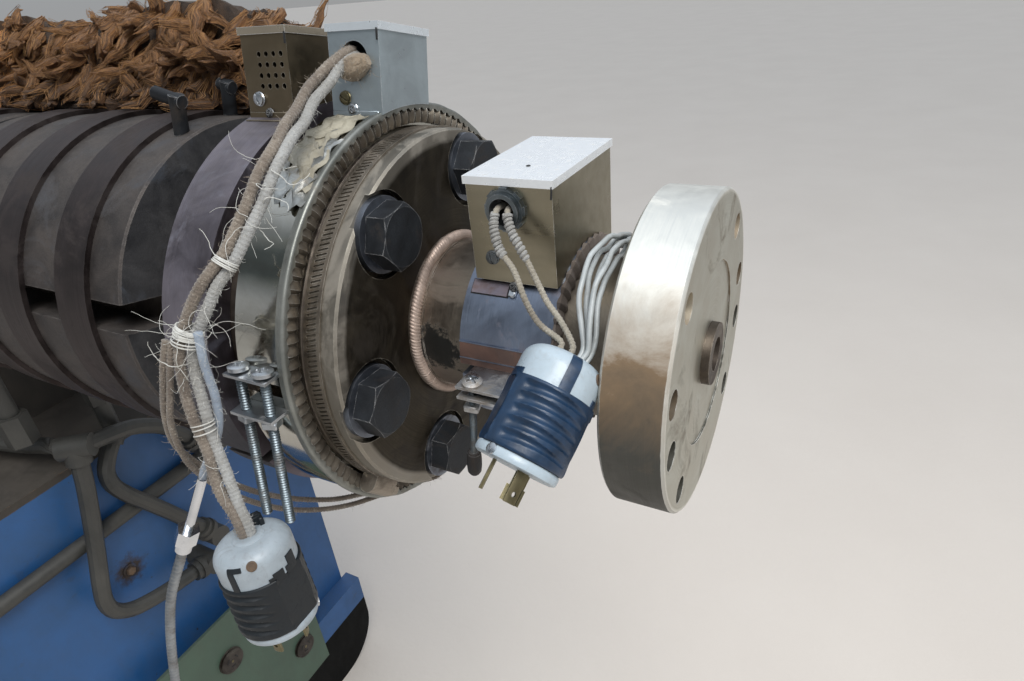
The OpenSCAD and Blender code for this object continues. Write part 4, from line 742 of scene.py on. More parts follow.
def solid(points):
    """The convex solid round some points."""
    work = bmesh.new()
    for p in points:
        work.verts.new(p)
    bmesh.ops.convex_hull(work, input=work.verts)
    work.verts.ensure_lookup_table()
    work.verts.index_update()
    out = [tuple(v.co) for v in work.verts], [[v.index for v in f.verts] for f in work.faces]
    work.free()
    return out


def block(size, bevel=0.4):
    """A block with broken edges, its middle at the origin."""
    x, y, z = (s / 2 for s in size)
    b = min(bevel, x * 0.9, y * 0.9, z * 0.9)
    return solid([(i * (x - p), j * (y - q), k * (z - s)) for i in (-1, 1) for j in (-1, 1) for k in (-1, 1)
                  for p, q, s in ((0, b, b), (b, 0, b), (b, b, 0))])


def slab(surface, u, v, low, high):
    """A sheet that follows surface(u, v, height) between two heights."""
    n, m = len(u), len(v)
    uu, vv = np.meshgrid(u, v, indexing="ij")
    points = np.concatenate([surface(uu, vv, h).reshape(-1, 3) for h in (low, high)])
    faces = [f[::-1] for f in grid(n, m, False)] + [[k + n * m for k in f] for f in grid(n, m, False)]
    rim = ([i * m for i in range(n)] + [(n - 1) * m + k for k in range(1, m)]
           + [i * m + m - 1 for i in range(n - 2, -1, -1)] + [k for k in range(m - 2, 0, -1)])
    faces += [[rim[i], rim[(i + 1) % len(rim)], rim[(i + 1) % len(rim)] + n * m, rim[i] + n * m] for i in range(len(rim))]
    return points, faces


def hairs(starts, ways, lengths, r, curl, seed, steps=5, sides=3):
    """Curled fibres, each a thin closed tube."""
    draw = np.random.default_rng(seed)
    n = len(starts)
    way = np.array(ways, float)
    way /= np.linalg.norm(way, axis=1)[:, None]
    spin = draw.normal(size=(n, 3)) * curl
    p = np.array(starts, float)
    step = np.asarray(lengths, float)[:, None] / steps
    line = [p]
    for _ in range(steps):
        way = way + np.cross(spin, way) / steps + draw.normal(size=(n, 3)) * curl * 0.12
        way /= np.linalg.norm(way, axis=1)[:, None]
        line.append(line[-1] + way * step)
    line = np.stack(line, axis=1)
    t = np.gradient(line, axis=1)
    t /= np.linalg.norm(t, axis=2)[:, :, None] + 1e-9
    u = np.cross(t, np.array([0.31, 0.52, 0.79]))
    u /= np.linalg.norm(u, axis=2)[:, :, None] + 1e-9
    v = np.cross(t, u)
    thin = r * np.linspace(1, 0.45, steps + 1)[None, :, None, None]
    a = np.arange(sides) * 2 * math.pi / sides
    points = line[:, :, None, :] + thin * (np.cos(a)[:, None] * u[:, :, None, :] + np.sin(a)[:, None] * v[:, :, None, :])
    one = grid(steps + 1, sides) + [list(range(sides))[::-1], [steps * sides + k for k in range(sides)]]
    size = (steps + 1) * sides
    faces = [[k + i * size for k in f] for i in range(n) for f in one]
    return points.reshape(-1, 3), faces


class Bits:
    """Parts gathered into one piece; each part keeps its own look."""

    def __init__(self):
        self.points, self.faces, self.kinds, self.looks, self.count = [], [], [], [], 0

    def add(self, part, look, origin=None, ahead=(0, 0, 1), side=(1, 0, 0)):
        points, faces = part if origin is None else placed(part, origin, ahead, side)
        if look not in self.looks:
            self.looks.append(look)
        self.points.append(np.asarray(points, float))
        self.faces += [[k + self.count for k in f] for f in faces]
        self.kinds += [self.looks.index(look)] * len(faces)
        self.count += len(points)

    def piece(self, name, slot=None, replaces=()):
        obj = mesh_piece(name, to_row(np.concatenate(self.points)), self.faces, self.looks[0])
        for look in self.looks[1:]:
            obj.data.materials.append(LOOKS[look])
        obj.data.polygons.foreach_set("material_index", self.kinds)
        obj.data.set_sharp_from_angle(angle=math.radians(38))
        if replaces:
            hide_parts(*replaces)
        return obj


# Faces of the outlets and a bolt on the base's end panel

faces_of = Bits()
for y, z in ((-7, -742.5), (123, -742.5), (-7, -872.5), (123, -872.5)):
    middle = np.array([-737.8, y, z])
    faces_of.add(lathe([(21, -0.6), (21, 0.9), (19.5, 1.5), (17.5, 1.5), (16.6, 0.7), (2, 0.7)], 48), "bakelite", middle, (1, 0, 0), (0, 0, 1))
    for turn in (20, 140, 260):
        a = np.radians(turn + np.linspace(-24, 24, 7))
        arc = np.stack([0 * a, 9.6 * np.cos(a), 9.6 * np.sin(a)], axis=1) + middle + [0.75, 0, 0]
        faces_of.add(tube_mesh(arc, 1.1, 6), "slit")
    faces_of.add(lathe([(2.2, 0), (2.2, 1.2), (1, 1.6)], 20), "brass", middle, (1, 0, 0), (0, 0, 1))
faces_of.piece("outlet_faces", "bakelite")
stud = Bits()
middle = np.array([-782.0, -60, -486.5])
stud.add(lathe([(10.5, -0.5), (10.5, 1.2), (9.5, 1.8), (6, 1.8)], 32), "blue", middle, (1, 0, 0), (0, 0, 1))
stud.add(solid([(i * 6.5 * math.cos(k * math.pi / 3), i * 6.5 * math.sin(k * math.pi / 3), z) for k in range(6)
                for i, z in ((1, 0.5), (1, 5.2), (0.82, 6.4))]), "rust_spot", middle, (1, 0, 0), (0, 0.3, 1))
stud.piece("end_panel_bolt", "blue_paint")

# Heater edges, lip and foil

def bead_ring(name, s, bore, tip, width, count, depth, look, slot, replaces, lip=None):
    """A ring of folded beads, its front bulging towards the outlet. Stations run back from the face."""
    k = np.arange(count * 6)
    fold = np.array([0.0, 0.55, 1.0, 0.8, 0.45, 0.12])[k % 6]
    jitter = np.array([noise.noise(Vector((i * 0.37, 3.1, tip * 0.1))) for i in k // 6])
    a = k * 2 * math.pi / len(k)
    ring = []
    for share, r in ((1.0, bore), (0.35, bore), (0.0, bore + 0.4 * (tip - bore)), (0.05, bore + 0.75 * (tip - bore)),
                     (0.3, tip), (1.0, tip)):
        out = (1 - share) * (fold + 0.35 * jitter) * depth
        reach = r - (0 if r == bore else 1) * (1 - fold + 0.5 * jitter) * 0.2 * (tip - bore)
        ring.append(np.stack([-s[1] + share * 0 + (1 - share) * (width - depth) + out, -reach * np.cos(a), reach * np.sin(a)], axis=1))
    points = np.stack(ring, axis=1).reshape(-1, 3)
    n, m = len(k), len(ring)
    faces = [[i * m + j, ((i + 1) % n) * m + j, ((i + 1) % n) * m + (j + 1) % m, i * m + (j + 1) % m]
             for i in range(n) for j in range(m)]
    bits = Bits()
    bits.add((points, faces), look)
    if lip:
        r, low_s, high_s = lip
        n = count * 6
        a = np.arange(n) * 2 * math.pi / n
        wave = np.array([noise.noise(Vector((math.cos(t) * 9, math.sin(t) * 9, 1.7))) for t in a])
        tooth = np.array([1.0, 0.75, 0.5, 0.25, 0.0, 0.5])[np.arange(n) % 6]
        ring = [np.stack([-x + 0.5 * wave, -(q + 0.5 * wave - cut * tooth) * np.cos(a), (q + 0.5 * wave - cut * tooth) * np.sin(a)],
                         axis=1)
                for x, q, cut in ((low_s + 0.2, r - 2.2, 1.8), (low_s - 0.5, r - 2.2, 1.8), (low_s - 1.1, r - 0.6, 0),
                                  (low_s - 0.9, r + 0.5, 0), (low_s - 0.2, r + 1.2, 0), (low_s + 0.9, r + 1.5, 0),
                                  (low_s + 2.0, r + 1.1, 0), (low_s + 2.8, r + 0.4, 0), (high_s, r + 0.3, 0), (high_s, r - 1.6, 0))]
        m = len(ring)
        bits.add((np.stack(ring, axis=1).reshape(-1, 3),
                  [[i * m + j, ((i + 1) % n) * m + j, ((i + 1) % n) * m + (j + 1) % m, i * m + (j + 1) % m]
                   for i in range(n) for j in range(m)]), "lip")
    return bits.piece(name, slot, replaces)


bead_ring("head_heater_beads", (211.7, 215.6), 134, 145, 4.6, 112, 2.6, "beads", "ceramic", ["head_heater_ceramic"],
          (146.4, 212.4, 218.0))
bead_ring("neck_heater_beads", (76.6, 80), 54.6, 68, 4.0, 44, 2.2, "ceramic", "ceramic", ["neck_heater_ceramic"])


def weld_bead(s, r, thick, count):
    """A weld bead laid round the barrel axis as overlapping ripples."""
    n = count * 4
    a = np.arange(n) * 2 * math.pi / n
    ripple = np.array([0.0, 0.55, 0.95, 1.0])[np.arange(n) % 4]
    drift = np.array([noise.noise(Vector((math.cos(t) * 3, math.sin(t) * 3, 5.2))) for t in a])
    rough = np.array([noise.noise(Vector((k * 0.9, 0.3, 8.1))) for k in range(n)])
    ring = []
    for t in np.linspace(0, 2 * math.pi, 17)[:-1]:
        big = thick * (0.90 + 0.10 * ripple + 0.10 * drift + 0.05 * rough)
        skew = 0.022 * math.cos(t + 0.8)
        reach = r + 1.15 * big * math.cos(t)
        ring.append(np.stack([-s + 0.5 * drift + 0.8 * big * math.sin(t), -reach * np.cos(a + skew), reach * np.sin(a + skew)], axis=1))
    m = len(ring)
    return (np.stack(ring, axis=1).reshape(-1, 3),
            [[i * m + j, i * m + (j + 1) % m, ((i + 1) % n) * m + (j + 1) % m, ((i + 1) % n) * m + j]
             for i in range(n) for j in range(m)])


weld = Bits()
weld.add(weld_bead(184.2, 56.8, 3.9, 150), "weld")
weld.piece("neck_weld", "flange_steel")


def on_drum(r):
    """A surface round the barrel axis: station back, degrees above the level on the near side, height."""
    def surface(s, degrees, h):
        a = np.radians(degrees)
        return np.stack([-s, -(r + h) * np.cos(a), (r + h) * np.sin(a)], axis=2)
    return surface


wraps = Bits()
for low_a, high_a, shift in ((6.7, 15.2, 0), (2.3, 6.1, 1.5)):
    wraps.add(slab(on_drum(66), np.linspace(82 + shift, 142.4, 12), np.linspace(low_a, high_a, 6), 0.05, 1.0), "strip")
for edge_a in (6.4, 15.5):
    wraps.add(slab(on_drum(66), np.linspace(80.5, 142.6, 12), np.linspace(edge_a - 0.3, edge_a + 0.3, 2), 0.05, 1.3), "tint_blue")
wraps.add(slab(on_drum(66), np.linspace(113.2, 139.8, 8), np.linspace(42.4, 51.1, 6), 0.03, 0.35), "slit")
wraps.add(slab(on_drum(66), np.linspace(114, 139, 8), np.linspace(43, 50.5, 6), 0.05, 1.1), "tab")
wraps.add(block((5, 5, 2.2), 0.8), "zinc", (-110.5, -67.4 * math.cos(math.radians(45)), 67.4 * math.sin(math.radians(45))),
          (0, -1, 1), (1, 0, 0))
wraps.piece("neck_heater_strips", "tinted_brown")

foil = Bits()
draw = np.random.default_rng(4)
for s0, s1, a0, a1, look in ((217, 243, 55, 68, "mica"), (222, 250, 60, 75, "mica"), (216.5, 236, 49, 58, "foil"),
                             (219, 248, 70, 82, "mica"), (230, 251, 52, 61, "foil"), (217, 228, 62, 72, "foil")):
    skew, phase = draw.uniform(-6, 6), draw.uniform(0, 6)

    def torn(s, degrees, h, s0=s0, s1=s1, a0=a0, skew=skew, phase=phase):
        t = (s - s0) / (s1 - s0)
        jag = 1.4 * np.sin(5 * t + phase) + 0.7 * np.sin(17 * t + 2 * phase)
        r = 146.6 + h + 1.2 * np.sin(0.35 * s + phase) ** 2 + 1.5 * t * (1 - t) + 0.8 * np.sin(0.9 * degrees + phase)
        a = np.radians(degrees + jag + skew * (t - 0.5))
        return np.stack([-s - 1.5 * np.sin(0.8 * degrees + phase), -r * np.cos(a), r * np.sin(a)], axis=2)
    foil.add(slab(torn, np.linspace(s0, s1, 12), np.linspace(a0, a1, 12), 0.2, 0.6), look)
foil.piece("head_heater_foil", "sleeving")


# Clamp rods and screws

def rod(length, r, pitch=1.8, depth=0.75):
    """A threaded rod that runs down from the origin."""
    z = -np.arange(0, length, pitch / 2)
    return lathe([(r - depth * (i % 2), q) for i, q in enumerate(z)][::-1], 16)


def washer(r, h):
    return lathe([(r - 0.4, 0), (r, 0.4), (r, h - 0.4), (r - 0.4, h)], 36)


rods = Bits()
down = np.array([0, -math.sin(math.radians(8)), -math.cos(math.radians(8))])
for i, s in enumerate((215.6 + 8, 215.6 + 28.4)):
    top = np.array([-s, -150.5, 26.0])
    rods.add(rod(104, 3.3), "thread", top, -down)
    rods.add(pan_head(6.4, 3.8, "cross", 0.5 + i), "zinc", top - 0.9 * down, -down)
    rods.add(block((9.6, 9.6, 5), 0.8), "zinc", top + 31.5 * down, -down, (1, 0.35 - 0.6 * i, 0))
rods.piece("head_heater_clamp_rods", "zinc", ["head_heater_rods"])

neck_screw = Bits()
tilt = Matrix.Rotation(math.radians(9.6), 3, "Y") @ Matrix.Rotation(math.radians(5.6), 3, "X")
lean = np.array(tilt @ Vector((0, 0, 1)))
top = np.array([-(80 + 21 + 22), -85.5, 2.5])
neck_screw.add(rod(72, 2.5), "thread", top, lean)
neck_screw.add(pan_head(6.4, 4.2, "cross", 0.9), "zinc", top + 0.2 * lean, lean)
neck_screw.add(block((9.5, 9.5, 5), 0.8), "zinc", top - 18.5 * lean, lean, (1, 0.2, 0))
neck_screw.add(lathe([(1.5, -11), (3.6, -10.4), (4.8, -8), (5.2, -3), (5, 6), (4.6, 10), (3.4, 11)], 24), "bolt",
               top - 72 * lean, lean)
neck_screw.piece("neck_heater_clamp_screw", "zinc", ["neck_heater_screws"])


# Terminal boxes: small parts on their faces

def box_place(tilt, r, y):
    """Places a part by station, height and distance out from the near face of a box tilted about r."""
    a = math.radians(tilt)
    rise = np.array([0, math.sin(a), math.cos(a)])
    out = np.array([0, -math.cos(a), math.sin(a)])

    def place(s, height, off):
        return np.array([-s, 0, r]) + (height - r) * rise + (off - y) * out
    return place, rise, out


def lumps(r, seed, depth=0.22):
    def shape(rr, z, a):
        out = np.empty_like(rr)
        for i in np.ndindex(rr.shape):
            p = Vector((math.cos(a[i]) * 2.2, math.sin(a[i]) * 2.2, z[i] / r * 1.5 + seed))
            out[i] = rr[i] * (1 + depth * noise.noise(p) + 0.1 * noise.noise(p * 4.3))
        return out
    return shape


box_b, rise_b, out_b = box_place(11.5, 146, -15)
box_a, rise_a, out_a = box_place(10, 149, -28)
box_c, rise_c, out_c = box_place(0, 66, -45.8)
trim = Bits()
for place, rise, out, screws in (
        (box_a, rise_a, out_a, ((304.1, 152.5, 4.2, "slot", "zinc", 0.4), (295.6, 143.4, 2.8, "cross", "bolt", 0.2))),
        (box_b, rise_b, out_b, ((240.4, 152.5, 3.9, "slot", "brass", 1.1), (234.4, 145.6, 3.2, "cross", "zinc", 0.3))),
        (box_c, rise_c, out_c, ((122.4, 69.5, 3.8, "slot", "nut_dark", 0.2), (109.5, 51.5, 2.6, "cross", "bolt", 0.7)))):
    for s, height, r, slot, look, turn in screws:
        trim.add(washer(r + 0.7, 0.8), look, place(s, height, 0.0), out, rise)
        trim.add(pan_head(r, 2.2, slot, turn), look, place(s, height, 0.7), out, rise)
for place, rise, out, s, low_h, width, look in ((box_a, rise_a, out_a, 294.5, 141.2, 40, "sheet_tan"),
                                                (box_b, rise_b, out_b, 232.5, 141.6, 38, "sheet_white")):
    trim.add(block((width, 6.0, 1.2), 0.4), look, place(s, low_h, 0.6), out, (1, 0, 0))
    trim.add(block((width - 3, 1.2, 7.0), 0.4), look, place(s, low_h - 2.4, 3.4), out, (1, 0, 0))
for place, s, low_h in ((box_b, 211.2, 189.6), (box_a, 273.6, 189.6), (box_c, 80.4, 112.0)):
    trim.add(block((0.8, 7.0, 1.3), 0.1), "slit", place(s, low_h, 1.35), out_b, (1, 0, 0))
trim.add(lathe([(0.3, 0.5), (1.2, 0.4), (1.4, 0)], 16), "slit", (-106, -22, 118.95))
for x, y, r in ((-79.4, -22, 9), (-79.4, 8, 7), (-79.4, 24, 5)):
    trim.add(lathe([(r, -0.2), (r * 0.7, 0.25), (r * 0.2, 0.3)], 24, lumps(r, r, 0.5)), "sheet", (x, y, 78 + 2 * r), (1, 0, 0))
trim.piece("box_screws", "zinc")

# Frayed sleeve ends where the leads leave the box, and the tie
fray = Bits()
draw = np.random.default_rng(11)


hole = box_b(230.5, 170.5, 0)
across = unit(np.cross(out_b, rise_b))
fray.add(lathe([(1, -11), (4.4, -9.5), (6.6, -6), (7.6, -1), (7.4, 4), (6.2, 8), (4.8, 11), (3, 13)], 48, lumps(7, 3.0, 0.12)),
         "sleeve_knob", hole + 2.0 * out_b, unit(across * -1.0 + 0.35 * rise_b))
fray.add(lathe([(2, -8), (4.4, -6), (5.4, -1), (5.2, 4), (3.8, 7)], 36, lumps(5, 8.0, 0.12)), "sleeve_knob",
         hole - 3 * out_b + 1.5 * rise_b, out_b)
n = 260
spots = hole + draw.normal(size=(n, 3)) * [6.0, 3.0, 3.5] + 3 * out_b
fray.add(hairs(spots, draw.normal(size=(n, 3)) + 0.6 * out_b, draw.uniform(3, 8, n), 0.16, 1.6, 21), "thread_tan")
centre = smooth_line(bundle_route, 6)
way_t, way_u, way_v = frames(centre)


def winding(middle, wide, high, count, length, r, seed):
    """Thread wound round the strands near a point of their route."""
    t = np.arange(0, count, 1 / 24)
    a = 2 * math.pi * t
    loose = 1 + 0.10 * np.array([noise.noise(Vector((seed, q * 2.3, 0.2))) for q in t])
    slide = length * (t / count - 0.5) + 0.9 * np.array([noise.noise(Vector((seed + 4, q * 1.7, 0.7))) for q in t])
    line = (centre[middle] + (wide * np.cos(a) * loose)[:, None] * way_u[middle]
            + (high * np.sin(a) * loose)[:, None] * way_v[middle] + slide[:, None] * way_t[middle])
    return tube_mesh(line, r, 6)


for middle, wide, high, count, length, r, seed in ((13 * 6, 8.0, 7.0, 7, 6, 0.55, 1), (13 * 6 + 1, 8.3, 7.4, 5, 10, 0.45, 2),
                                                  (11 * 6, 7.0, 6.0, 4, 4, 0.5, 3), (16 * 6, 7.0, 6.0, 3, 9, 0.4, 5)):
    fray.add(winding(middle, wide, high, count, length, r, seed), "thread_white")
for row, count, spread, look, seed in ((bundle_rows[0], 800, 3.2, "thread_tan", 31), (bundle_rows[1], 800, 3.2, "thread_white", 32),
                                       (loop_rows[0], 300, 2.0, "thread_tan", 33), (loop_rows[1], 300, 2.0, "thread_tan", 34),
                                       (wire_row, 160, 2.2, "thread_white", 35)):
    line = (row - np.array([FX, 0, AX])) / MM
    at_i = draw.integers(2, len(line) - 2, count)
    way = draw.normal(size=(count, 3))
    start = line[at_i] + spread * 0.9 * way / np.linalg.norm(way, axis=1)[:, None]
    along_way = line[at_i + 1] - line[at_i]
    along_way /= np.linalg.norm(along_way, axis=1)[:, None]
    fray.add(hairs(start, way + 1.6 * along_way, draw.uniform(2, 5.5, count), 0.13, 1.2, seed, 4), look)
n = 60
at_i = draw.choice([46, 50, 56, 76, 77, 78, 79, 80, 84, 104], n) + draw.integers(-2, 3, n)
line = (bundle_rows[1] - np.array([FX, 0, AX])) / MM
start = line[np.clip(at_i, 0, len(line) - 1)] + draw.normal(size=(n, 3)) * 4
fray.add(hairs(start, draw.normal(size=(n, 3)) * 0.8 + [-0.7, -0.6, -0.5], draw.uniform(12, 44, n), 0.2, 1.3, 41, 12, 4),
         "thread_white")
n = 9
start = line[[46, 50, 54, 56, 62, 76, 78, 80, 84]]
fray.add(hairs(start, draw.normal(size=(n, 3)) * 0.7 + [0.5, -0.6, -0.3], draw.uniform(24, 46, n), 0.36, 2.4, 57, 18, 5), "thread_white")
# Cream tape round the leads where they leave the nipple
for route, seed in ((lead_1_route, 3), (lead_2_route, 6)):
    path = smooth_line(route, 10)
    pt, pu, pv = frames(path)
    turns = np.arange(0, 11, 1 / 16)
    place = np.clip(12 + turns * 1.9, 0, len(path) - 1)
    i = place.astype(int)
    big = 1.75 + 0.6 * np.array([noise.noise(Vector((seed, q * 1.1, 0.4))) for q in turns])
    a = 2 * math.pi * turns
    spiral = path[i] + (place - i)[:, None] * (path[np.minimum(i + 1, len(path) - 1)] - path[i])
    spiral += big[:, None] * (np.cos(a)[:, None] * pu[i] + np.sin(a)[:, None] * pv[i])
    fray.add(tube_mesh(spiral, 1.25, 6), "sleeve_white")
fray.piece("lead_fibres", "sleeving")

# Locking plugs

PLUG_R, DISC_T, GRIP_T, CAP_T, ROUND = 25, 6, 39, 11, 10


def plug(index, p, d, ribs_at, strip_at, notches):
    """A ribbed grip with two flat sides, a domed cap with strips, and a disc with a screw."""
    toward = np.array([69.5, -362.0, 220.9]) - p
    toward = unit(toward - toward.dot(d) * d)
    body = Bits()
    z = np.concatenate([[0.2, 0.6], np.linspace(1.4, GRIP_T - 1.4, 74), [GRIP_T - 0.6, GRIP_T - 0.2]]) + DISC_T

    def grip(rr, zz, a):
        turn = np.degrees(a) - ribs_at
        turn = (turn + 90) % 180 - 90
        out = np.full_like(rr, PLUG_R) - np.clip(0.9 - np.minimum(zz - DISC_T, DISC_T + GRIP_T - zz), 0, 1) * 0.8
        for i, height in enumerate(np.linspace(6.5, 33.5, 5) + DISC_T):
            t = np.clip((turn + 52) / 100, 0, 1)
            wide = (3.4 - 2.2 * t) * (1 + 0.1 * math.sin(7 * i))
            start = np.clip((turn + 50) / 9, 0, 1) * np.clip((52 - turn) / 30, 0, 1)
            level = height + 2.6 * np.sin(t * 2.6 + 0.4) - 1.5
            out -= 1.9 * start * np.clip(1 - ((zz - level) / wide) ** 2, 0, 1)
        flat = np.abs((turn - 90 + 180) % 180)
        flat = np.minimum(flat, 180 - flat)
        bow = 25.5 - 3.5 * ((zz - DISC_T - GRIP_T / 2) / (GRIP_T / 2)) ** 2
        inside = flat < bow
        out = np.where(inside, np.minimum(out, 22.7 / np.cos(np.radians(flat))), out)
        return out + 0.45 * np.clip(1 - np.abs(flat - bow - 1.5) / 1.6, 0, 1)
    body.add(lathe([(PLUG_R, q) for q in z], 144, grip), "rubber_sky_sheen", p, d, toward)
    over_cap = DISC_T + GRIP_T
    arc = [(PLUG_R - 1.5 - ROUND + ROUND * math.sin(t), over_cap + CAP_T + ROUND * math.cos(t))
           for t in np.linspace(math.pi / 2, 0, 14)]
    profile = [(PLUG_R - 1.5, over_cap - 1)] + arc + [(9, PLUG_H), (1, PLUG_H)]

    def dent(rr, zz, a):
        return rr * (1 - 0.012 * np.sin(2 * a + 0.5) * np.clip((zz - over_cap) / 15, 0, 1))
    cap = Bits()
    cap.add(lathe(profile, 96, dent), "nylon_sky_lit", p, d, toward)
    cap.add(lathe([(17, 0.4), (21.5, 0), (23.3, 0.8), (23.7, 2), (23.7, 5), (23, DISC_T), (20, DISC_T)], 96), "nylon_sky_lit", p, d, toward)
    side = np.cross(d, toward)
    for a, h in ((-50, 3.2), (130, 3.2)):
        t = math.radians(ribs_at + a)
        out = toward * math.cos(t) + side * math.sin(t)
        cap.add(pan_head(3.0, 1.3, "slot", 0.8), "zinc", p + h * d + 23.3 * out, out, d)

    def over(degrees, height, off):
        """A surface on the cap: degrees round it, height above the disc."""
        rise = np.clip(height - over_cap - CAP_T, 0, ROUND - 0.4)
        r = PLUG_R - 1.5 - ROUND + np.sqrt(np.clip(ROUND ** 2 - rise ** 2, 0, None)) + off
        t = np.radians(degrees)
        return (np.array(p) + r[..., None] * (np.cos(t)[..., None] * toward + np.sin(t)[..., None] * side)
                + height[..., None] * d)
    for half in (0, 180):
        wide = 4.5 if index == 1 else 8
        body.add(slab(over, np.linspace(strip_at - wide, strip_at + wide, 7) + half,
                      np.linspace(over_cap - 2, PLUG_H - (5 if index == 1 else 1.2), 22), -1.2, 0.9), "rubber_sky_sheen")
        if index == 1:
            body.add(slab(over, np.linspace(strip_at - wide, strip_at + 17, 9) + half,
                          np.linspace(over_cap + 13.5, over_cap + 16, 4), -1.2, 0.9), "rubber_sky_sheen")
        for a0, a1, top in notches:
            body.add(slab(over, np.linspace(a0, a1, 6) + half, np.linspace(over_cap - 2, over_cap + top, 5), -1.2, 0.7), "rubber_sky_sheen")
        t = math.radians(ribs_at + 45.5 + half)
        out = toward * math.cos(t) + side * math.sin(t)
        spot = over(np.array([ribs_at + 45.5 + half]), np.array([over_cap + 15.0]), 0.0)[0]
        cap.add(lathe([(3.1, -2), (3.1, 0.25), (2.3, 0.4), (2.0, 0.1), (0.4, 0.05)], 24), "rust_spot", spot, unit(out + 0.35 * d), d)
    if index == 1:
        for k in range(3):
            body.add(block((2.0, 15, 7), 0.5), "rubber_sky_sheen", p + (PLUG_H + 2.5) * d - (7.5 + 2.6 * k) * toward + 3 * side, d, toward)
        body.add(block((9, 3, 6), 0.6), "rubber_sky_sheen", p + (PLUG_H + 2) * d - 9 * toward + 10 * side, d, toward)
        cap.add(lathe([(10.5, -1), (9.6, 0.9), (8.2, 1.4), (6.8, 1.4)], 40), "nylon_sky_lit", p + (PLUG_H - 0.5) * d, d, toward)
    grip_piece = body.piece(f"plug_{index}_grip", "black_rubber", [f"plug_{index}_body"])
    shell_piece = cap.piece(f"plug_{index}_shell", "white_nylon", [f"plug_{index}_cap"])
    # Plug 1 takes the darker copies of the grip and cap looks: painted shade.
    if index == 1:
        grip_piece.data.materials[0] = LOOKS["rubber_shaded"]
        shell_piece.data.materials[0] = LOOKS["nylon_shaded"]


# Insulation

def blanket():
    low_a, high_a, inner, outer, mid = 16, 90, 141.7, 235, 189
    loop = ([(math.radians(a), inner) for a in np.linspace(low_a, high_a, 20)]
            + [(math.radians(high_a), r) for r in np.linspace(inner, outer, 15)[1:-1]]
            + [(math.radians(a), outer) for a in np.linspace(high_a, low_a, 40)]
            + [(math.radians(low_a), r) for r in np.linspace(outer, inner, 15)[1:-1]])
    stations = np.concatenate([369.8 + 34 * (1 - np.cos(np.linspace(0.12, math.pi / 2, 9))), np.arange(411, 1557, 9), [1557.3]])
    points = []
    for i, s in enumerate(stations):
        shrink = 1 - math.sqrt(max(0, 1 - ((403.8 - s) / 34) ** 2)) if s < 403.8 else 0.0
        for a, r in loop:
            p = Vector((s, r * math.sin(a), r * math.cos(a)))
            core_a = min(max(a, math.radians(low_a + 17)), math.radians(high_a - 17))
            core = Vector((s, mid * math.sin(core_a), mid * math.cos(core_a)))
            rough = 0.45 + 0.8 * noise.noise(p * 0.026) + 0.45 * abs(noise.noise(p * 0.06))
            share = 0.02 + 0.28 * min(max(rough, 0), 1)
            if r == inner:
                share *= 0.12
            share = share + (1 - share) * shrink
            p = p + (core - p) * share
            points.append((-s, p.y, p.z))
    n = len(loop)
    faces = [f[::-1] for f in grid(len(stations), n)]
    faces += [list(range(n)), [(len(stations) - 1) * n + k for k in range(n)][::-1]]
    return np.array(points), faces, n


points, faces, n = blanket()
wool = Bits()
wool.add((points, faces), "wool")
draw = np.random.default_rng(17)
rows = points.reshape(-1, n, 3)
outside = rows[:, 19:, :]
heart = rows.mean(axis=1, keepdims=True)
LOCKS, FRONT, EDGE = 1080, 860, 180


def roots(count, front, edge, first=0):
    """Places on the wool's outer side with their outward ways: front ones near its front end, edge ones along its near foot."""
    i, k = draw.integers(first, outside.shape[0], count), draw.integers(0, outside.shape[1], count)
    i[:front] = draw.integers(0, 62, front)
    k[:front] = draw.integers(20, outside.shape[1], front)
    i[front:front + edge] = draw.integers(2, 70, edge)
    k[front:front + edge] = draw.integers(outside.shape[1] - 9, outside.shape[1], edge)
    out = outside[i, k] - heart[i, 0]
    return outside[i, k] + draw.normal(size=(count, 3)) * 2, out / np.linalg.norm(out, axis=1)[:, None]


def combing(p):
    """The way the wool lies at a place: down and towards the near side, swirled."""
    return np.array([[1.3 * noise.noise(Vector(q * 0.017)), -0.55 + 0.8 * noise.noise(Vector(q * 0.02 + 7)),
                      -0.75 + 0.8 * noise.noise(Vector(q * 0.02 + 19))] for q in p])


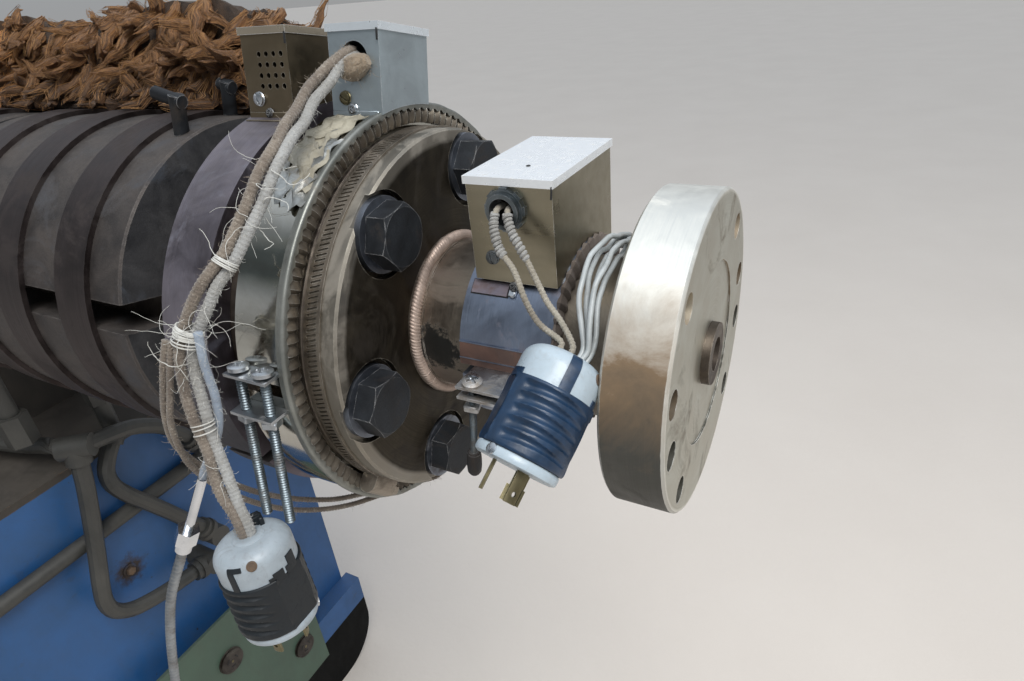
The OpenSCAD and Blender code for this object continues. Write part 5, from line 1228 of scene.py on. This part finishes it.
def locks(front, edge, first=0, grow=1.0, steps=9, sides=8):
    """Wavy, tapered hanks and the fibres that follow them; the lock attribute runs along the fibres."""
    root, out = roots(LOCKS, front, edge, first)
    way = combing(root) + draw.normal(size=(LOCKS, 3)) * 0.35
    way -= (way * out).sum(axis=1)[:, None] * out
    way = way / np.linalg.norm(way, axis=1)[:, None] + 0.22 * out
    hang = slice(front, front + edge)
    way[hang] = [0.0, -0.9, -0.35] + draw.normal(size=(edge, 3)) * [0.5, 0.2, 0.2]
    length, wide = draw.uniform(26, 54, LOCKS) * grow, draw.uniform(4.0, 8.5, LOCKS) * grow
    curl, phase = draw.normal(size=(LOCKS, 3)) * 0.8, draw.uniform(0, 6, LOCKS)
    line, p = [root - 3 * out], root - 3 * out
    for k in range(steps):
        way = way + np.cross(curl, way) / steps
        way -= 0.04 * out
        way /= np.linalg.norm(way, axis=1)[:, None]
        sway = np.cross(way, out)
        p = p + (way + 0.75 * np.sin(phase + 1.5 * k)[:, None] * sway) * (length / steps)[:, None]
        line.append(p)
    line = np.stack(line, axis=1)
    far = np.linalg.norm(line[:, :, 1:], axis=2)
    line[:, :, 1:] *= (np.clip(far, 145, 234) / far)[:, :, None]
    t = np.gradient(line, axis=1)
    t /= np.linalg.norm(t, axis=2)[:, :, None] + 1e-9
    v = out[:, None, :] - (out[:, None, :] * t).sum(axis=2)[:, :, None] * t
    v /= np.linalg.norm(v, axis=2)[:, :, None] + 1e-9
    u = np.cross(t, v)
    share = np.linspace(0, 1, steps + 1)
    taper = (0.6 + 0.4 * np.sin(math.pi * (0.1 + 0.7 * share))) * (1 - share ** 3) + 0.05
    w = wide[:, None] * taper[None, :]

    def skin(a, grow):
        flute = grow * (1 + 0.16 * np.cos(3 * a + 1))
        return w[:, :, None] * np.cos(a) * flute, 0.62 * w[:, :, None] * np.sin(a) * flute
    a = np.arange(sides) * 2 * math.pi / sides
    x, y = skin(a, 1.0)
    points = line[:, :, None, :] + x[..., None] * u[:, :, None, :] + y[..., None] * v[:, :, None, :]
    along = np.broadcast_to((share[None, :] * length[:, None] * 0.07 + 9.7 * np.arange(LOCKS)[:, None])[:, :, None], x.shape)
    one = grid(steps + 1, sides) + [list(range(sides))[::-1], [steps * sides + k for k in range(sides)]]
    size = (steps + 1) * sides
    faces = [[k + i * size for k in f] for i in range(LOCKS) for f in one]
    hairs_at = []
    pick = np.arange(0, steps + 1, 2)
    for _ in range(7):
        x1, y1 = skin(draw.uniform(-0.4, 3.5, (LOCKS, 1, 1)), 1.0 + 0.9 * share[None, :, None] ** 2 * draw.uniform(0.3, 1.6, (LOCKS, 1, 1)))
        strand_at = line[:, :, None, :] + (x1[..., None] * 1.02) * u[:, :, None, :] + (y1[..., None] * 1.02 + 0.3) * v[:, :, None, :]
        strand_at = strand_at[:, :, 0, :] + draw.normal(size=line.shape) * 0.45
        hairs_at.append(strand_at[:, pick] + t[:, pick] * (share[pick] ** 2 * 6)[None, :, None] * draw.uniform(0, 1, (LOCKS, 1, 1)))
    return (points.reshape(-1, 3), faces), np.stack([x, y, along], axis=-1).reshape(-1, 3), np.concatenate(hairs_at)


def thin_tubes(lines, r):
    """Three-sided closed tubes along many lines of equal length."""
    count, steps = lines.shape[:2]
    t = np.gradient(lines, axis=1)
    t /= np.linalg.norm(t, axis=2)[:, :, None] + 1e-9
    u = np.cross(t, np.array([0.31, 0.52, 0.79]))
    u /= np.linalg.norm(u, axis=2)[:, :, None] + 1e-9
    v = np.cross(t, u)
    thin = r * np.linspace(1, 0.4, steps)[None, :, None, None]
    a = np.arange(3) * 2 * math.pi / 3
    points = lines[:, :, None, :] + thin * (np.cos(a)[:, None] * u[:, :, None, :] + np.sin(a)[:, None] * v[:, :, None, :])
    one = grid(steps, 3) + [[2, 1, 0], [(steps - 1) * 3 + k for k in range(3)]]
    return points.reshape(-1, 3), [[k + i * steps * 3 for k in f] for i in range(count) for f in one]


def streaked(piece, values):
    piece.data.attributes.new("lock", "FLOAT_VECTOR", "POINT").data.foreach_set("vector", values.ravel())


hanks, lock_at, hair_lines = locks(FRONT, EDGE)
wool.add(hanks, "wool_lock")
cushion = wool.piece("insulation_wool", "wool", ["insulation_blanket"])
streaked(cushion, np.concatenate([points, lock_at]))
rear = Bits()
hanks, lock_at, _ = locks(0, 0, 55, 1.25)
rear.add(hanks, "wool_lock")
streaked(rear.piece("insulation_wool_rear", "wool"), lock_at)
fluff = Bits()
fluff.add(thin_tubes(hair_lines, 0.42), "wool_fibre")
fluff.piece("insulation_fibres", "wool")


plug(1, plug_1_p, plug_1_d, -57, -44, ((2, 13, 2), (9, 26, 4), (30, 36, 3), (36, 52, 9)))
plug(2, plug_2_p, plug_2_d, 12, 12, ((-78, -50, 3), (62, 76, 4)))


# Stage and light

floor_mesh = bpy.data.meshes.new("floor")
floor_mesh.from_pydata([(-40, -40, 0), (40, -40, 0), (40, 40, 0), (-40, 40, 0)], [], [(0, 1, 2, 3)])
floor = bpy.data.objects.new("floor", floor_mesh)
bpy.context.scene.collection.objects.link(floor)
ground = Look("floor")
tone = ground.noise(2.2, 8.0, 0.6)
floor_mesh.materials.append(ground.done(ground.mix(tone, (0.68, 0.61, 0.54), (0.76, 0.69, 0.615)), 0.9, 0.0,
                                        ground.bump(ground.noise(60.0, 6.0), 1.0)))

world = bpy.context.scene.world or bpy.data.worlds.new("world")
bpy.context.scene.world = world
world.use_nodes = True
studio = Look.__new__(Look)
studio.tree = world.node_tree
studio.where = studio.add("ShaderNodeTexCoord").outputs["Generated"]
way_x, way_y, way_z = studio.split()
sky = studio.ramp(studio.level(way_z, -0.2, 1.0), (0.0, (0.42, 0.38, 0.34)), (0.17, (0.40, 0.41, 0.42)),
                  (0.45, (0.62, 0.66, 0.72)), (0.8, (1.05, 1.15, 1.28)))
dark = studio.ramp(studio.noise(3.2, 5.0, 0.6, 0.8), (0.38, (0.012, 0.018, 0.016)), (0.55, (0.05, 0.075, 0.08)),
                   (0.68, (0.16, 0.17, 0.13)))
shade = studio.math("MULTIPLY", studio.level(way_y, -0.12, -0.45), studio.level(way_z, 0.85, 0.6))
shade = studio.math("MULTIPLY", shade, studio.level(way_z, 0.2, 0.36))
sky = studio.mix(studio.math("MULTIPLY", shade, 0.9), sky, dark)
background = world.node_tree.nodes["Background"]
studio.put(background.inputs[0], sky)
background.inputs[1].default_value = 0.8


def area(name, place, target, width, power, colour=(1, 1, 1)):
    data = bpy.data.lights.new(name, "AREA")
    data.size, data.energy, data.color = width, power, colour
    obj = bpy.data.objects.new(name, data)
    bpy.context.scene.collection.objects.link(obj)
    obj.location = place
    obj.rotation_euler = (Vector(target) - Vector(place)).to_track_quat("-Z", "Y").to_euler()


area("key_light", (FX + 1.0, -1.0, AX + 2.2), (FX - 0.15, 0, AX), 1.5, 75, (1.0, 0.985, 0.96))
bpy.context.scene.view_settings.view_transform = "Standard"
